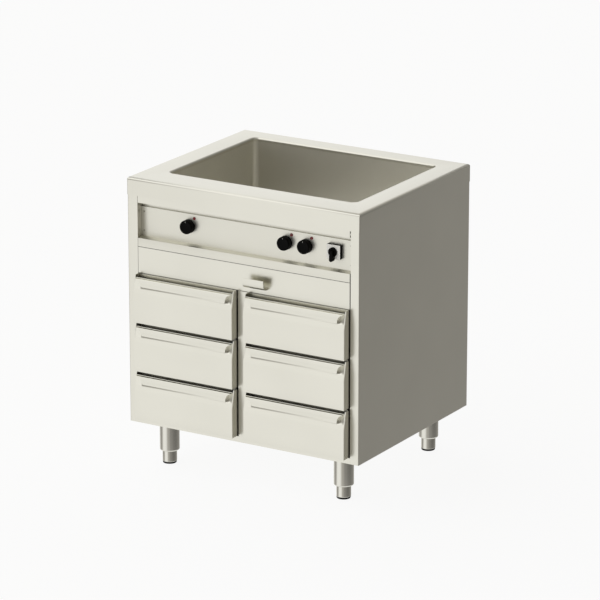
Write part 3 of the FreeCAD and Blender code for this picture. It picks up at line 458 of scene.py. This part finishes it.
# %% Drawer fronts
front_low, front_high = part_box("drawer_left_top_front")
SKIN, FACE = round(front_low[1], 4), round(front_high[1], 4)
FRONT_HEIGHT, FRONT_DEPTH = round(front_high[2] - front_low[2], 4), round(FACE - SKIN, 4)
SHEET = 0.0015
LOWER_EDGE, LOWER_EASE = 0.0012, 0.0003
LEAN_START, LEAN = 0.092, 0.0114
SWELL_LOW, SWELL_TOP, SWELL_ROWS, ROW_HEIGHT = 0.103, 0.129, 24, 0.0012
LIP_TOP, LIP_ROLL, LIP_BACK, BEAD = 0.140, 0.006, 0.0018, 0.007
ROLL_STEPS, BEAD_STEPS, BEAD_TURN = 8, 8, 12
CHANNEL_FRONT, CHANNEL_LOW = 0.013, 0.0975
CHEEK, CHEEK_EASE = 0.003, 0.0008
DISH_BASE, DISH_RADIUS, DISH_INSET, DISH_WALL, DISH_START = 0.109, 0.0285, 0.002, 0.0025, 0.007
DISH_DEPTH = {"left": 0.002, "right": 0.009}
DISH_SLOPE = {"left": 0.08, "right": 0.36}
DISH_STEPS, DISH_CROWDING = 14, 1.7
FRONT_HARD_ANGLE = 50


def leaned(height):
    """How far the flat part of the front stands back at a height."""
    return LEAN * max(height - LEAN_START, 0) / (FRONT_HEIGHT - LEAN_START)


def swell(height):
    """How far the lip stands back at a height below its rolled top."""
    t = min(max((height - SWELL_LOW) / (SWELL_TOP - SWELL_LOW), 0), 1)
    share = t * t * (3 - 2 * t)
    return leaned(height) * (1 - share) + LIP_BACK * share


def rim_of_dish(height):
    """Distance of the hollow's rim from the end of the front, at a height."""
    up = min(max(height - DISH_BASE - 0.001, 0), DISH_RADIUS)
    return max(math.sqrt(DISH_RADIUS ** 2 - up ** 2) - DISH_INSET, CHEEK)


def depth_in_dish(side, lip, floor, height, width, inward):
    """Depth inwards of the rim: a steep wall, then a floor that slopes up to the end of the front."""
    wall = min(DISH_WALL, width / 2)
    if inward <= 0 or wall <= 0:
        return floor if wall <= 0 else lip
    fall = 1 - (1 - min(inward / wall, 1)) ** 2
    start = min(max((height - DISH_BASE + 0.002) / DISH_START, 0), 1)
    pressed = min(DISH_DEPTH[side], width * DISH_SLOPE[side]) * start * (1 - inward / width)
    return lip + (floor - lip + pressed) * fall


def front_outline():
    """Outline as (depth on the lip, depth of the leaning sheet, height, height whose rim is followed)."""
    heights = [LOWER_EDGE, 0.03, 0.06, 0.088, LEAN_START, 0.096, 0.100]
    heights += [SWELL_LOW - 0.001 + i * ROW_HEIGHT for i in range(SWELL_ROWS)] + [0.132]
    points = [(LOWER_EDGE, LOWER_EDGE, 0.0, 0.0), (LOWER_EASE, LOWER_EASE, LOWER_EASE, 0.0)]
    points += [(swell(h), leaned(h), h, h) for h in heights]
    for i in range(ROLL_STEPS + 1):
        turn = math.pi / 2 * i / ROLL_STEPS
        height = LIP_TOP - LIP_ROLL + LIP_ROLL * math.sin(turn)
        lip = LIP_BACK + LIP_ROLL - LIP_ROLL * math.cos(turn)
        points.append((lip, max(leaned(height), lip), height, height))
    turns = [math.radians(BEAD_TURN * i) for i in range(1, BEAD_STEPS + 1)]
    behind = [(LIP_BACK + LIP_ROLL + BEAD * math.sin(a), LIP_TOP - BEAD + BEAD * math.cos(a)) for a in turns]
    behind += [(CHANNEL_FRONT, 0.124), (CHANNEL_FRONT - 0.0015, CHANNEL_LOW), (0.0265, CHANNEL_LOW)]
    behind += [(0.0285, CHANNEL_LOW + 0.001), (FRONT_DEPTH - SHEET, CHANNEL_LOW + 0.003)]
    behind += [(FRONT_DEPTH - SHEET, FRONT_HEIGHT), (FRONT_DEPTH, FRONT_HEIGHT), (FRONT_DEPTH, 0.0)]
    return points + [(depth, depth, height, LIP_TOP) for depth, height in behind]


def press_sheet(work, low, high):
    """The pressed sheet: outlines side by side from end to end, joined by faces."""
    places = [("left", i) for i in range(DISH_STEPS, -1, -1)]
    places += [("right", i) for i in range(DISH_STEPS + 1)]
    columns = []
    for side, step in places:
        column = []
        for lip, floor, height, rim_height in front_outline():
            rim = rim_of_dish(rim_height)
            width = rim - CHEEK
            inward = width * (step / DISH_STEPS) ** DISH_CROWDING
            inset = rim - inward
            x = low[0] + inset if side == "left" else high[0] - inset
            depth = depth_in_dish(side, lip, floor, height, width, inward)
            column.append(work.verts.new((x, SKIN + depth, low[2] + height)))
        columns.append(column)
    count = len(columns[0])
    for one, other in zip(columns, columns[1:]):
        for i in range(count):
            k = (i + 1) % count
            work.faces.new((one[i], one[k], other[k], other[i]))
    work.faces.new(columns[0])
    work.faces.new(list(reversed(columns[-1])))
    bmesh.ops.dissolve_degenerate(work, dist=1e-6, edges=work.edges)


def add_cheek(work, x_outer, x_inner, bottom):
    """The plate that closes an end of the front, with its outer edge rounded."""
    cheek = [(SKIN, 0), (SKIN, LEAN_START), (SKIN + LEAN, FRONT_HEIGHT), (FACE, FRONT_HEIGHT), (FACE, 0)]
    outer = [work.verts.new((x_outer, y, bottom + z)) for y, z in cheek]
    inner = [work.verts.new((x_inner, y, bottom + z)) for y, z in cheek]
    work.faces.new(outer)
    work.faces.new(list(reversed(inner)))
    for i in range(len(cheek)):
        k = (i + 1) % len(cheek)
        work.faces.new((outer[i], outer[k], inner[k], inner[i]))
    rim_edges = [e for e in work.edges if all(v in outer for v in e.verts)]
    bmesh.ops.bevel(work, geom=rim_edges, offset=CHEEK_EASE, segments=2, affect="EDGES")


def make_drawer_front(node):
    low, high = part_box(node)
    work = bmesh.new()
    press_sheet(work, low, high)
    add_cheek(work, low[0], low[0] + CHEEK, low[2])
    add_cheek(work, high[0], high[0] - CHEEK, low[2])
    mesh = mesh_from(work)
    finish_piece(node + "_pressed", mesh, BODY_OF[node], satin_steel, node,
                 FRONT_HARD_ANGLE)
    return len(mesh.polygons)


fronts = [node for node in NODES if node.startswith("drawer_") and node.endswith("_front")]
print([make_drawer_front(node) for node in fronts], "faces on the drawer fronts")


# %% [markdown]
# Knobs, lamps, feet, legs and glands are round. Each is turned like on a lathe: a
# profile of radius and height is spun about its axis in fine steps. A small helper
# rounds the profile's corners first, because moulded and turned edges are rounded.

# %% Turned pieces
EASE_STEPS = (0.0, 0.15, 0.4, 0.6, 0.85, 1.0)


def eased(profile):
    """Rounds each profile corner that has a third value by that radius."""
    points = []
    for i, corner in enumerate(profile):
        here = Vector(corner[:2])
        if len(corner) == 2:
            points.append(here)
            continue
        back = (Vector(profile[i - 1][:2]) - here).normalized()
        ahead = (Vector(profile[(i + 1) % len(profile)][:2]) - here).normalized()
        for t in EASE_STEPS:
            points.append(here + back * corner[2] * (1 - t) ** 2 + ahead * corner[2] * t ** 2)
    return points


def turn_into(work, profile, place, direction="up", steps=96):
    points = eased(profile)
    rings = []
    for i in range(steps):
        angle = 2 * math.pi * i / steps
        ring = []
        for radius, height in points:
            spin = (radius * math.cos(angle), radius * math.sin(angle), height)
            x, y, z = spin if direction == "up" else (spin[0], -spin[2], spin[1])
            ring.append(work.verts.new((place[0] + x, place[1] + y, place[2] + z)))
        rings.append(ring)
    for i in range(steps):
        one, other = rings[i], rings[(i + 1) % steps]
        for j in range(len(points) - 1):
            work.faces.new((one[j], one[j + 1], other[j + 1], other[j]))
        if points[0][0] > 1e-6 and points[-1][0] > 1e-6:
            work.faces.new((one[-1], one[0], other[0], other[-1]))


def turned(name, profile, places, body, material, instead_of=None, direction="up", steps=96):
    work = bmesh.new()
    for place in places:
        turn_into(work, profile, place, direction, steps)
    finish_piece(name, mesh_from(work, merge=True), body, material, instead_of)


# %% [markdown]
# The legs are stainless tubes with a rolled lower rim. In each sits a foot that
# screws in and out: a turned steel post with a groove where it meets the tube, on
# a rubber pad that keeps the steel off the floor. Profiles are pairs of radius and
# height, and a third value is the rounding of that corner.

# %% Legs and feet
def middle_of(node):
    """The point on the floor under the middle of a node."""
    low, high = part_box(node)
    return (round((low[0] + high[0]) / 2, 4), round((low[1] + high[1]) / 2, 4), 0)


CORNERS = ("front_left", "front_right", "rear_left", "rear_right")
LEG_PLACES = {corner: middle_of("foot_" + corner) for corner in CORNERS}
TUBE_RADIUS, TUBE_BORE, TUBE_LOW, TUBE_TOP = 0.0305, 0.0226, 0.041, 0.137
FLANGE_RADIUS, PLUG_LOW = 0.0325, 0.119
POST_RADIUS, GROOVE_RADIUS, POST_TOP = 0.02225, 0.0212, 0.096
PAD_TOP, PAD_RADIUS = 0.006, 0.0204

leg_profile = [(TUBE_BORE, TUBE_LOW), (TUBE_RADIUS, TUBE_LOW, 0.005), (TUBE_RADIUS, TUBE_TOP - 0.0025),
               (FLANGE_RADIUS, TUBE_TOP - 0.0005), (FLANGE_RADIUS, TUBE_TOP), (0, TUBE_TOP), (0, PLUG_LOW),
               (TUBE_BORE, PLUG_LOW)]
post_profile = [(0, PAD_TOP), (0.0214, PAD_TOP), (POST_RADIUS, 0.0072, 0.0006), (POST_RADIUS, 0.0392, 0.0004),
                (GROOVE_RADIUS, 0.0396), (GROOVE_RADIUS, 0.0408), (POST_RADIUS, 0.0412),
                (POST_RADIUS, POST_TOP - 0.0005, 0.0005), (0, POST_TOP)]
pad_profile = [(0, 0), (PAD_RADIUS, 0, 0.0008), (0.0217, PAD_TOP), (0, PAD_TOP)]
turned("leg_tubes_rolled", leg_profile, LEG_PLACES.values(), "cabinet", tube_steel,
       "leg_tubes")
for corner, place in LEG_PLACES.items():
    foot, body = f"foot_{corner}", f"{corner}_foot"
    turned(foot + "_post", post_profile, [place], body, tube_steel, foot)
    turned(foot + "_pad", pad_profile, [place], body, black_rubber)
print("four legs and feet")


# %% [markdown]
# The control knobs are black phenolic: a round cap with a narrow skirt and fine
# ribs to grip it by. The ribs repeat around the cap, so a small node tree makes
# them: points on a circle, a thin round bar on each point, made real at the end. The
# sizes are inputs of the tree, and the result is turned into a plain mesh.

# %% Node tree helpers
def new_tree(name, sizes):
    """A geometry tree with a mesh input, the named size inputs, and a mesh output."""
    tree = bpy.data.node_groups.new(name, "GeometryNodeTree")
    tree.interface.new_socket("Geometry", in_out="INPUT", socket_type="NodeSocketGeometry")
    for label, (kind, value) in sizes.items():
        socket = tree.interface.new_socket(label, in_out="INPUT", socket_type=kind)
        socket.default_value = value
    tree.interface.new_socket("Geometry", in_out="OUTPUT", socket_type="NodeSocketGeometry")
    return tree, tree.nodes.new("NodeGroupInput"), tree.nodes.new("NodeGroupOutput")


def run_tree(tree, points, sizes):
    """Runs the tree on a mesh of loose points and returns the result as a plain mesh."""
    base = bpy.data.meshes.new("points")
    base.from_pydata(points, [], [])
    carrier = bpy.data.objects.new("carrier", base)
    scene.collection.objects.link(carrier)
    modifier = carrier.modifiers.new("repeat", "NODES")
    modifier.node_group = tree
    sockets = {item.name: item.identifier for item in tree.interface.items_tree if item.in_out == "INPUT"}
    for label, value in sizes.items():
        modifier[sockets[label]] = value
    graph = bpy.context.evaluated_depsgraph_get()
    mesh = bpy.data.meshes.new_from_object(carrier.evaluated_get(graph))
    carrier.modifiers.remove(modifier)
    bpy.data.objects.remove(carrier)
    return mesh


LENGTH = "NodeSocketFloat"
COUNT = "NodeSocketInt"
DIRECTION = "NodeSocketVector"


def grip_rib_tree(material):
    tree, sizes, result = new_tree("grip_ribs", {
        "Ribs": (COUNT, 40), "Cap Radius": (LENGTH, 0.0202), "Rib Radius": (LENGTH, 0.0007),
        "Rib Length": (LENGTH, 0.012)})
    circle = add(tree, "GeometryNodeMeshCircle", Vertices=(sizes, "Ribs"), Radius=(sizes, "Cap Radius"))
    bar = add(tree, "GeometryNodeMeshCylinder", Vertices=8, Radius=(sizes, "Rib Radius"),
              Depth=(sizes, "Rib Length"))
    ribs = add(tree, "GeometryNodeInstanceOnPoints", Points=(circle, 0), Instance=(bar, 0))
    upright = add(tree, "GeometryNodeTransform", Geometry=(ribs, 0), Rotation=(math.pi / 2, 0, 0))
    knobs = add(tree, "GeometryNodeInstanceOnPoints", Points=(sizes, "Geometry"), Instance=(upright, 0))
    real = add(tree, "GeometryNodeRealizeInstances", Geometry=(knobs, 0))
    dressed = add(tree, "GeometryNodeSetMaterial", Geometry=(real, 0), Material=material)
    tree.links.new(dressed.outputs[0], result.inputs[0])
    return tree


# %% Knobs
KNOBS = {node: JOINT_PLACE[BODY_OF[node]][0] for node in ("knob_left", "knob_middle", "knob_right")}
KNOB_LEVEL = JOINT_PLACE["left_knob"][2]
PANEL_FACE, KNOB_BASE = -0.290, -0.291
SKIRT_RADIUS, SKIRT_HEIGHT = 0.021, 0.003
CAP_RADIUS, CAP_TOP_RADIUS, CAP_HEIGHT, CAP_DIP = 0.0205, 0.0203, 0.0198, 0.0192
RIB_MIDDLE, RIBS = 0.0115, 40
POINTER_OUT, POINTER_UP = 0.01985, 0.0165
POINTER_SIZE, POINTER_EASE = (0.0011, 0.0005, 0.004, 1.0), 0.0001
knob_profile = [(0, 0.0), (SKIRT_RADIUS, 0.0), (SKIRT_RADIUS, SKIRT_HEIGHT, 0.0008), (CAP_RADIUS, 0.0036),
                (CAP_TOP_RADIUS, CAP_HEIGHT, 0.0016), (0.016, CAP_HEIGHT), (0.0145, CAP_DIP), (0, CAP_DIP)]
rib_tree = grip_rib_tree(black_phenolic)


def make_pointer(x):
    """The white mark on a knob that shows where it stands."""
    place = Matrix.Translation((x, KNOB_BASE - POINTER_OUT, KNOB_LEVEL + POINTER_UP))
    pointer = bmesh.new()
    bmesh.ops.create_cube(pointer, size=1.0, matrix=place @ Matrix.Diagonal(POINTER_SIZE))
    bmesh.ops.bevel(pointer, geom=pointer.edges[:], offset=POINTER_EASE, segments=1, affect="EDGES")
    return mesh_from(pointer, merge=True)


for node, x in KNOBS.items():
    body = BODY_OF[node]
    turned(node + "_cap", knob_profile, [(x, KNOB_BASE, KNOB_LEVEL)], body, black_phenolic,
           node, "out")
    ribs = run_tree(rib_tree, [(x, KNOB_BASE - RIB_MIDDLE, KNOB_LEVEL)], {"Ribs": RIBS})
    finish_piece(node + "_ribs", ribs, body)
    finish_piece(node + "_pointer", make_pointer(x), body, white_print)
print("three knobs")


# %% [markdown]
# Each knob has a pilot lamp: a red lens, domed so that it is seen from the side,
# in a thin bezel of the same plastic.

# %% Pilot lamps
LAMP_ASIDE, LAMP_UP = 0.0185, 0.026
LAMP_RADIUS, LAMP_LENGTH, BEZEL_RADIUS = 0.0042, 0.0175, 0.005
lamp_places = [(x + LAMP_ASIDE, PANEL_FACE, KNOB_LEVEL + LAMP_UP) for x in KNOBS.values()]
lens_profile = [(0, -LAMP_LENGTH), (LAMP_RADIUS, -LAMP_LENGTH), (LAMP_RADIUS, 0.0), (BEZEL_RADIUS, 0.0),
                (BEZEL_RADIUS, 0.0010, 0.0003), (0.0043, 0.0012), (0.0041, 0.0020), (0.0034, 0.0030),
                (0.0022, 0.0037), (0.001, 0.00395), (0, 0.004)]
turned("pilot_lamps_lens", lens_profile, lamp_places, "cabinet", red_polycarbonate,
       "pilot_lamps", "out", 32)
print("three pilot lamps")


# %% [markdown]
# The main switch turns by a black dial with a lever, on a white plate. The plate
# is marked 0 at rest and 1 a quarter turn on. The figures are text objects, which
# are made into meshes before they are put in their place.

# %% Main switch
SWITCH = (JOINT_PLACE["switch_handle"][0], JOINT_PLACE["switch_handle"][2])
PLATE_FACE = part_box("switch_plate")[0][1]
DIAL_BACK = PLATE_FACE - 0.0005
DIAL_RADIUS, DIAL_HEIGHT = 0.014, 0.006
LEVER_HALF, LEVER_HEIGHT, LEVER_TOP, LEVER_END = 0.006, 0.014, 0.006, 0.021
SWITCH_EASE, LEVER_STEPS = 0.0012, 24
MARK_SIZE, MARK_LIFT, MARK_INK = 0.0055, 0.00006, 0.00005


def bar_with_round_end(work, half_width, y_near, y_far, z_top, z_round, place_x):
    """A flat bar that hangs down and ends in a half circle. Returns the corners of its front."""
    outline = [(half_width, z_top), (-half_width, z_top)]
    for i in range(LEVER_STEPS + 1):
        angle = math.pi + math.pi * i / LEVER_STEPS
        outline.append((half_width * math.cos(angle), z_round + half_width * math.sin(angle)))
    near = [work.verts.new((place_x + x, y_near, z)) for x, z in outline]
    far = [work.verts.new((place_x + x, y_far, z)) for x, z in outline]
    work.faces.new(near)
    work.faces.new(list(reversed(far)))
    for i in range(len(outline)):
        k = (i + 1) % len(outline)
        work.faces.new((near[i], near[k], far[k], far[i]))
    return near


def make_switch_lever():
    """The dial and the lever on it."""
    x, level = SWITCH
    work = bmesh.new()
    dial = [(0, 0.0), (DIAL_RADIUS, 0.0), (DIAL_RADIUS, DIAL_HEIGHT, SWITCH_EASE), (0, DIAL_HEIGHT)]
    turn_into(work, dial, (x, DIAL_BACK, level), "out", 64)
    near = bar_with_round_end(work, LEVER_HALF, DIAL_BACK - LEVER_HEIGHT, DIAL_BACK, level + LEVER_TOP,
                              level - LEVER_END, x)
    front_edges = [e for e in work.edges if all(v in near for v in e.verts)]
    bmesh.ops.bevel(work, geom=front_edges, offset=SWITCH_EASE, segments=3, affect="EDGES")
    return mesh_from(work)


def print_mark(name, text, aside, up):
    """A figure printed on the switch plate."""
    curve = bpy.data.curves.new(name, "FONT")
    curve.body = text
    curve.size = MARK_SIZE
    curve.align_x = "CENTER"
    curve.align_y = "CENTER"
    curve.extrude = MARK_INK
    holder = bpy.data.objects.new(name, curve)
    scene.collection.objects.link(holder)
    graph = bpy.context.evaluated_depsgraph_get()
    mesh = bpy.data.meshes.new_from_object(holder.evaluated_get(graph))
    bpy.data.objects.remove(holder)
    place = Matrix.Translation((SWITCH[0] + aside, PLATE_FACE - MARK_LIFT, SWITCH[1] + up))
    mesh.transform(place @ Matrix.Rotation(math.pi / 2, 4, "X"))
    finish_piece(name, mesh, "cabinet", dark_print)


finish_piece("switch_lever", make_switch_lever(), "switch_handle", black_phenolic,
             "switch_knob")
print_mark("switch_mark_off", "0", 0.0105, -0.0155)
print_mark("switch_mark_on", "1", -0.0185, 0.0005)
print("main switch")


# %% [markdown]
# Small screws and rivets repeat along the sheet edges and the slides. One node
# tree makes them all: a cone-shaped head with a cross recess, set on every point
# of a list and turned to face outwards.

# %% Screws and rivets
TOP_SHARE, ARM_SHARE, CUT_SHARE, RECESS_SHARE = 0.72, 0.9, 1.2, 0.26
FASTENER_HARD_ANGLE = 30


def fastener_tree(material):
    tree, sizes, result = new_tree("fasteners", {
        "Head Radius": (LENGTH, 0.003), "Head Height": (LENGTH, 0.0014), "Recess": (LENGTH, 0.0008),
        "Facing": (DIRECTION, (0.0, -1.0, 0.0))})
    top = add(tree, "ShaderNodeMath", {"operation": "MULTIPLY"}, i0=(sizes, "Head Radius"), i1=TOP_SHARE)
    head = add(tree, "GeometryNodeMeshCone", Vertices=20, Radius_Top=(top, 0),
               Radius_Bottom=(sizes, "Head Radius"), Depth=(sizes, "Head Height"))
    arm = add(tree, "ShaderNodeMath", {"operation": "MULTIPLY"}, i0=(sizes, "Head Radius"), i1=ARM_SHARE)
    deep = add(tree, "ShaderNodeMath", {"operation": "MULTIPLY"}, i0=(sizes, "Head Height"), i1=CUT_SHARE)
    slot_size = add(tree, "ShaderNodeCombineXYZ", X=(arm, 0), Y=(sizes, "Recess"), Z=(deep, 0))
    cross_size = add(tree, "ShaderNodeCombineXYZ", X=(sizes, "Recess"), Y=(arm, 0), Z=(deep, 0))
    slot = add(tree, "GeometryNodeMeshCube", Size=(slot_size, 0))
    cross = add(tree, "GeometryNodeMeshCube", Size=(cross_size, 0))
    lift = add(tree, "ShaderNodeCombineXYZ", Z=(sizes, "Head Height"))
    both = add(tree, "GeometryNodeJoinGeometry")
    tree.links.new(slot.outputs[0], both.inputs[0])
    tree.links.new(cross.outputs[0], both.inputs[0])
    lifted = add(tree, "GeometryNodeTransform", Geometry=(both, 0), Translation=(lift, 0))
    cut = add(tree, "GeometryNodeMeshBoolean", {"operation": "DIFFERENCE"}, i0=(head, 0), i1=(lifted, 0))
    turn = add(tree, "FunctionNodeAlignRotationToVector", {"axis": "Z"}, Vector=(sizes, "Facing"))
    heads = add(tree, "GeometryNodeInstanceOnPoints", Points=(sizes, "Geometry"), Instance=(cut, 0),
                Rotation=(turn, 0))
    real = add(tree, "GeometryNodeRealizeInstances", Geometry=(heads, 0))
    dressed = add(tree, "GeometryNodeSetMaterial", Geometry=(real, 0), Material=material)
    tree.links.new(dressed.outputs[0], result.inputs[0])
    return tree


SCREW_RADIUS, SCREW_HEIGHT = 0.0035, 0.0017
RIVET_RADIUS, RIVET_HEIGHT, RIVET_LEVEL, RIVET_INSET = 0.0032, 0.0012, 0.040, 0.05
REAR_COLUMNS, REAR_ENDS = (-0.36, -0.18, 0.0, 0.18, 0.36), (0.16, 0.825)
REAR_SIDES, REAR_ROWS = (-0.36, 0.36), (0.33, 0.49, 0.66)
BOX_SHEET = 0.0012
BOXES = [node for node in NODES if node.startswith("drawer_") and node.endswith("_box")]
fasteners = fastener_tree(screw_steel)


def add_fasteners(name, points, facing, body, radius, height, instead_of=None):
    mesh = run_tree(fasteners, points, {"Head Radius": radius, "Head Height": height,
                                        "Recess": radius * RECESS_SHARE, "Facing": facing})
    finish_piece(name, mesh, body, None, instead_of, FASTENER_HARD_ANGLE)
    return len(points)


def screw_control_panel():
    low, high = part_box("panel_screws")
    points = [(x, PANEL_FACE, z) for x in (low[0] + SCREW_RADIUS, high[0] - SCREW_RADIUS)
              for z in (low[2] + SCREW_RADIUS, high[2] - SCREW_RADIUS)]
    return add_fasteners("panel_screws_crosshead", points, (0.0, -1.0, 0.0), "cabinet", SCREW_RADIUS,
                         SCREW_HEIGHT, "panel_screws")


def screw_back_panel():
    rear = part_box("back_panel")[1][1]
    points = [(x, rear, z) for x in REAR_COLUMNS for z in REAR_ENDS]
    points += [(x, rear, z) for x in REAR_SIDES for z in REAR_ROWS]
    return add_fasteners("rear_panel_screws", points, (0.0, 1.0, 0.0), "cabinet", SCREW_RADIUS, SCREW_HEIGHT)


def rivet_box(node):
    """Three rivets on the inside of each side wall, through to the slide."""
    low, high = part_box(node)
    level = low[2] + RIVET_LEVEL
    places = (low[1] + RIVET_INSET, (low[1] + high[1]) / 2, high[1] - RIVET_INSET)
    walls = (("left", low[0] + BOX_SHEET, 1.0), ("right", high[0] - BOX_SHEET, -1.0))
    count = 0
    for side, x, towards in walls:
        points = [(x, y, level) for y in places]
        count += add_fasteners(f"{node}_rivets_{side}", points, (towards, 0.0, 0.0), BODY_OF[node],
                               RIVET_RADIUS, RIVET_HEIGHT)
    return count


made = screw_control_panel() + screw_back_panel()
made += sum(rivet_box(node) for node in BOXES)
print(made, "screws and rivets")


# %% [markdown]
# The top edge of each drawer box is hemmed: folded over so that no raw edge shows.
# A rounded bead that follows the rim gives that edge.

# %% Hemmed rims of the drawer boxes
HEM_HALF_WIDTH, HEM_HALF_HEIGHT, HEM_SHIFT, HEM_DROP = 0.0006, 0.0022, 0.0004, 0.0013 / 4
HEM_SIDES = 12


def hem_rim(node):
    low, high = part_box(node)
    inset = BOX_SHEET / 2 + 0.0001
    corners = [(low[0] + inset, low[1] + inset), (high[0] - inset, low[1] + inset),
               (high[0] - inset, high[1] - inset), (low[0] + inset, high[1] - inset)]
    work = bmesh.new()
    rings = []
    for i, (x, y) in enumerate(corners):
        out_x = -1 if i in (0, 3) else 1
        out_y = -1 if i in (0, 1) else 1
        ring = []
        for j in range(HEM_SIDES):
            angle = 2 * math.pi * j / HEM_SIDES
            away = HEM_HALF_WIDTH * math.cos(angle) - HEM_SHIFT
            up = HEM_HALF_HEIGHT * math.sin(angle) - HEM_HALF_HEIGHT - HEM_DROP
            ring.append(work.verts.new((x + away * out_x, y + away * out_y, high[2] + up)))
        rings.append(ring)
    for i in range(4):
        one, other = rings[i], rings[(i + 1) % 4]
        for j in range(HEM_SIDES):
            k = (j + 1) % HEM_SIDES
            work.faces.new((one[j], one[k], other[k], other[j]))
    mesh = mesh_from(work, merge=True)
    finish_piece(node + "_hem", mesh, BODY_OF[node], inner_steel)


for node in BOXES:
    hem_rim(node)
print(len(BOXES), "hemmed rims")


# %% [markdown]
# Under the base, the supply cable enters through a nylon gland: a six-sided nut on
# a body, with a dome that squeezes the seal. Turned with six steps the same lathe
# gives the nuts, and turned with many steps it gives the round parts.

# %% Cable gland
GLAND_PLACE = (*MOUNT_PLACE["cable_entry"][:2], TUBE_TOP)
GLAND_BORE, DOME_RADIUS, NUT_RADIUS, THREAD_RADIUS = 0.0065, 0.0122, 0.0138, 0.0099
ROUND, SIX_SIDED = 48, 6
gland_parts = [
    (ROUND, [(GLAND_BORE, -0.0235), (0.0105, -0.024, 0.0008), (DOME_RADIUS, -0.019, 0.001),
             (DOME_RADIUS, -0.0085), (GLAND_BORE, -0.0085)]),
    (SIX_SIDED, [(GLAND_BORE, -0.0085), (NUT_RADIUS, -0.0085, 0.0005), (NUT_RADIUS, -0.0002, 0.0005),
                 (GLAND_BORE, -0.0002)]),
    (ROUND, [(GLAND_BORE, -0.0002), (THREAD_RADIUS, -0.0002), (THREAD_RADIUS, 0.015), (GLAND_BORE, 0.015)]),
    (SIX_SIDED, [(THREAD_RADIUS, 0.002), (NUT_RADIUS, 0.002, 0.0004), (NUT_RADIUS, 0.007, 0.0004),
                 (THREAD_RADIUS, 0.007)]),
]
gland = bmesh.new()
for steps, profile in gland_parts:
    turn_into(gland, profile, GLAND_PLACE, "up", steps)
finish_piece("cable_gland_nylon", mesh_from(gland, merge=True), "cabinet", black_nylon,
             "cable_gland")
print("cable gland")
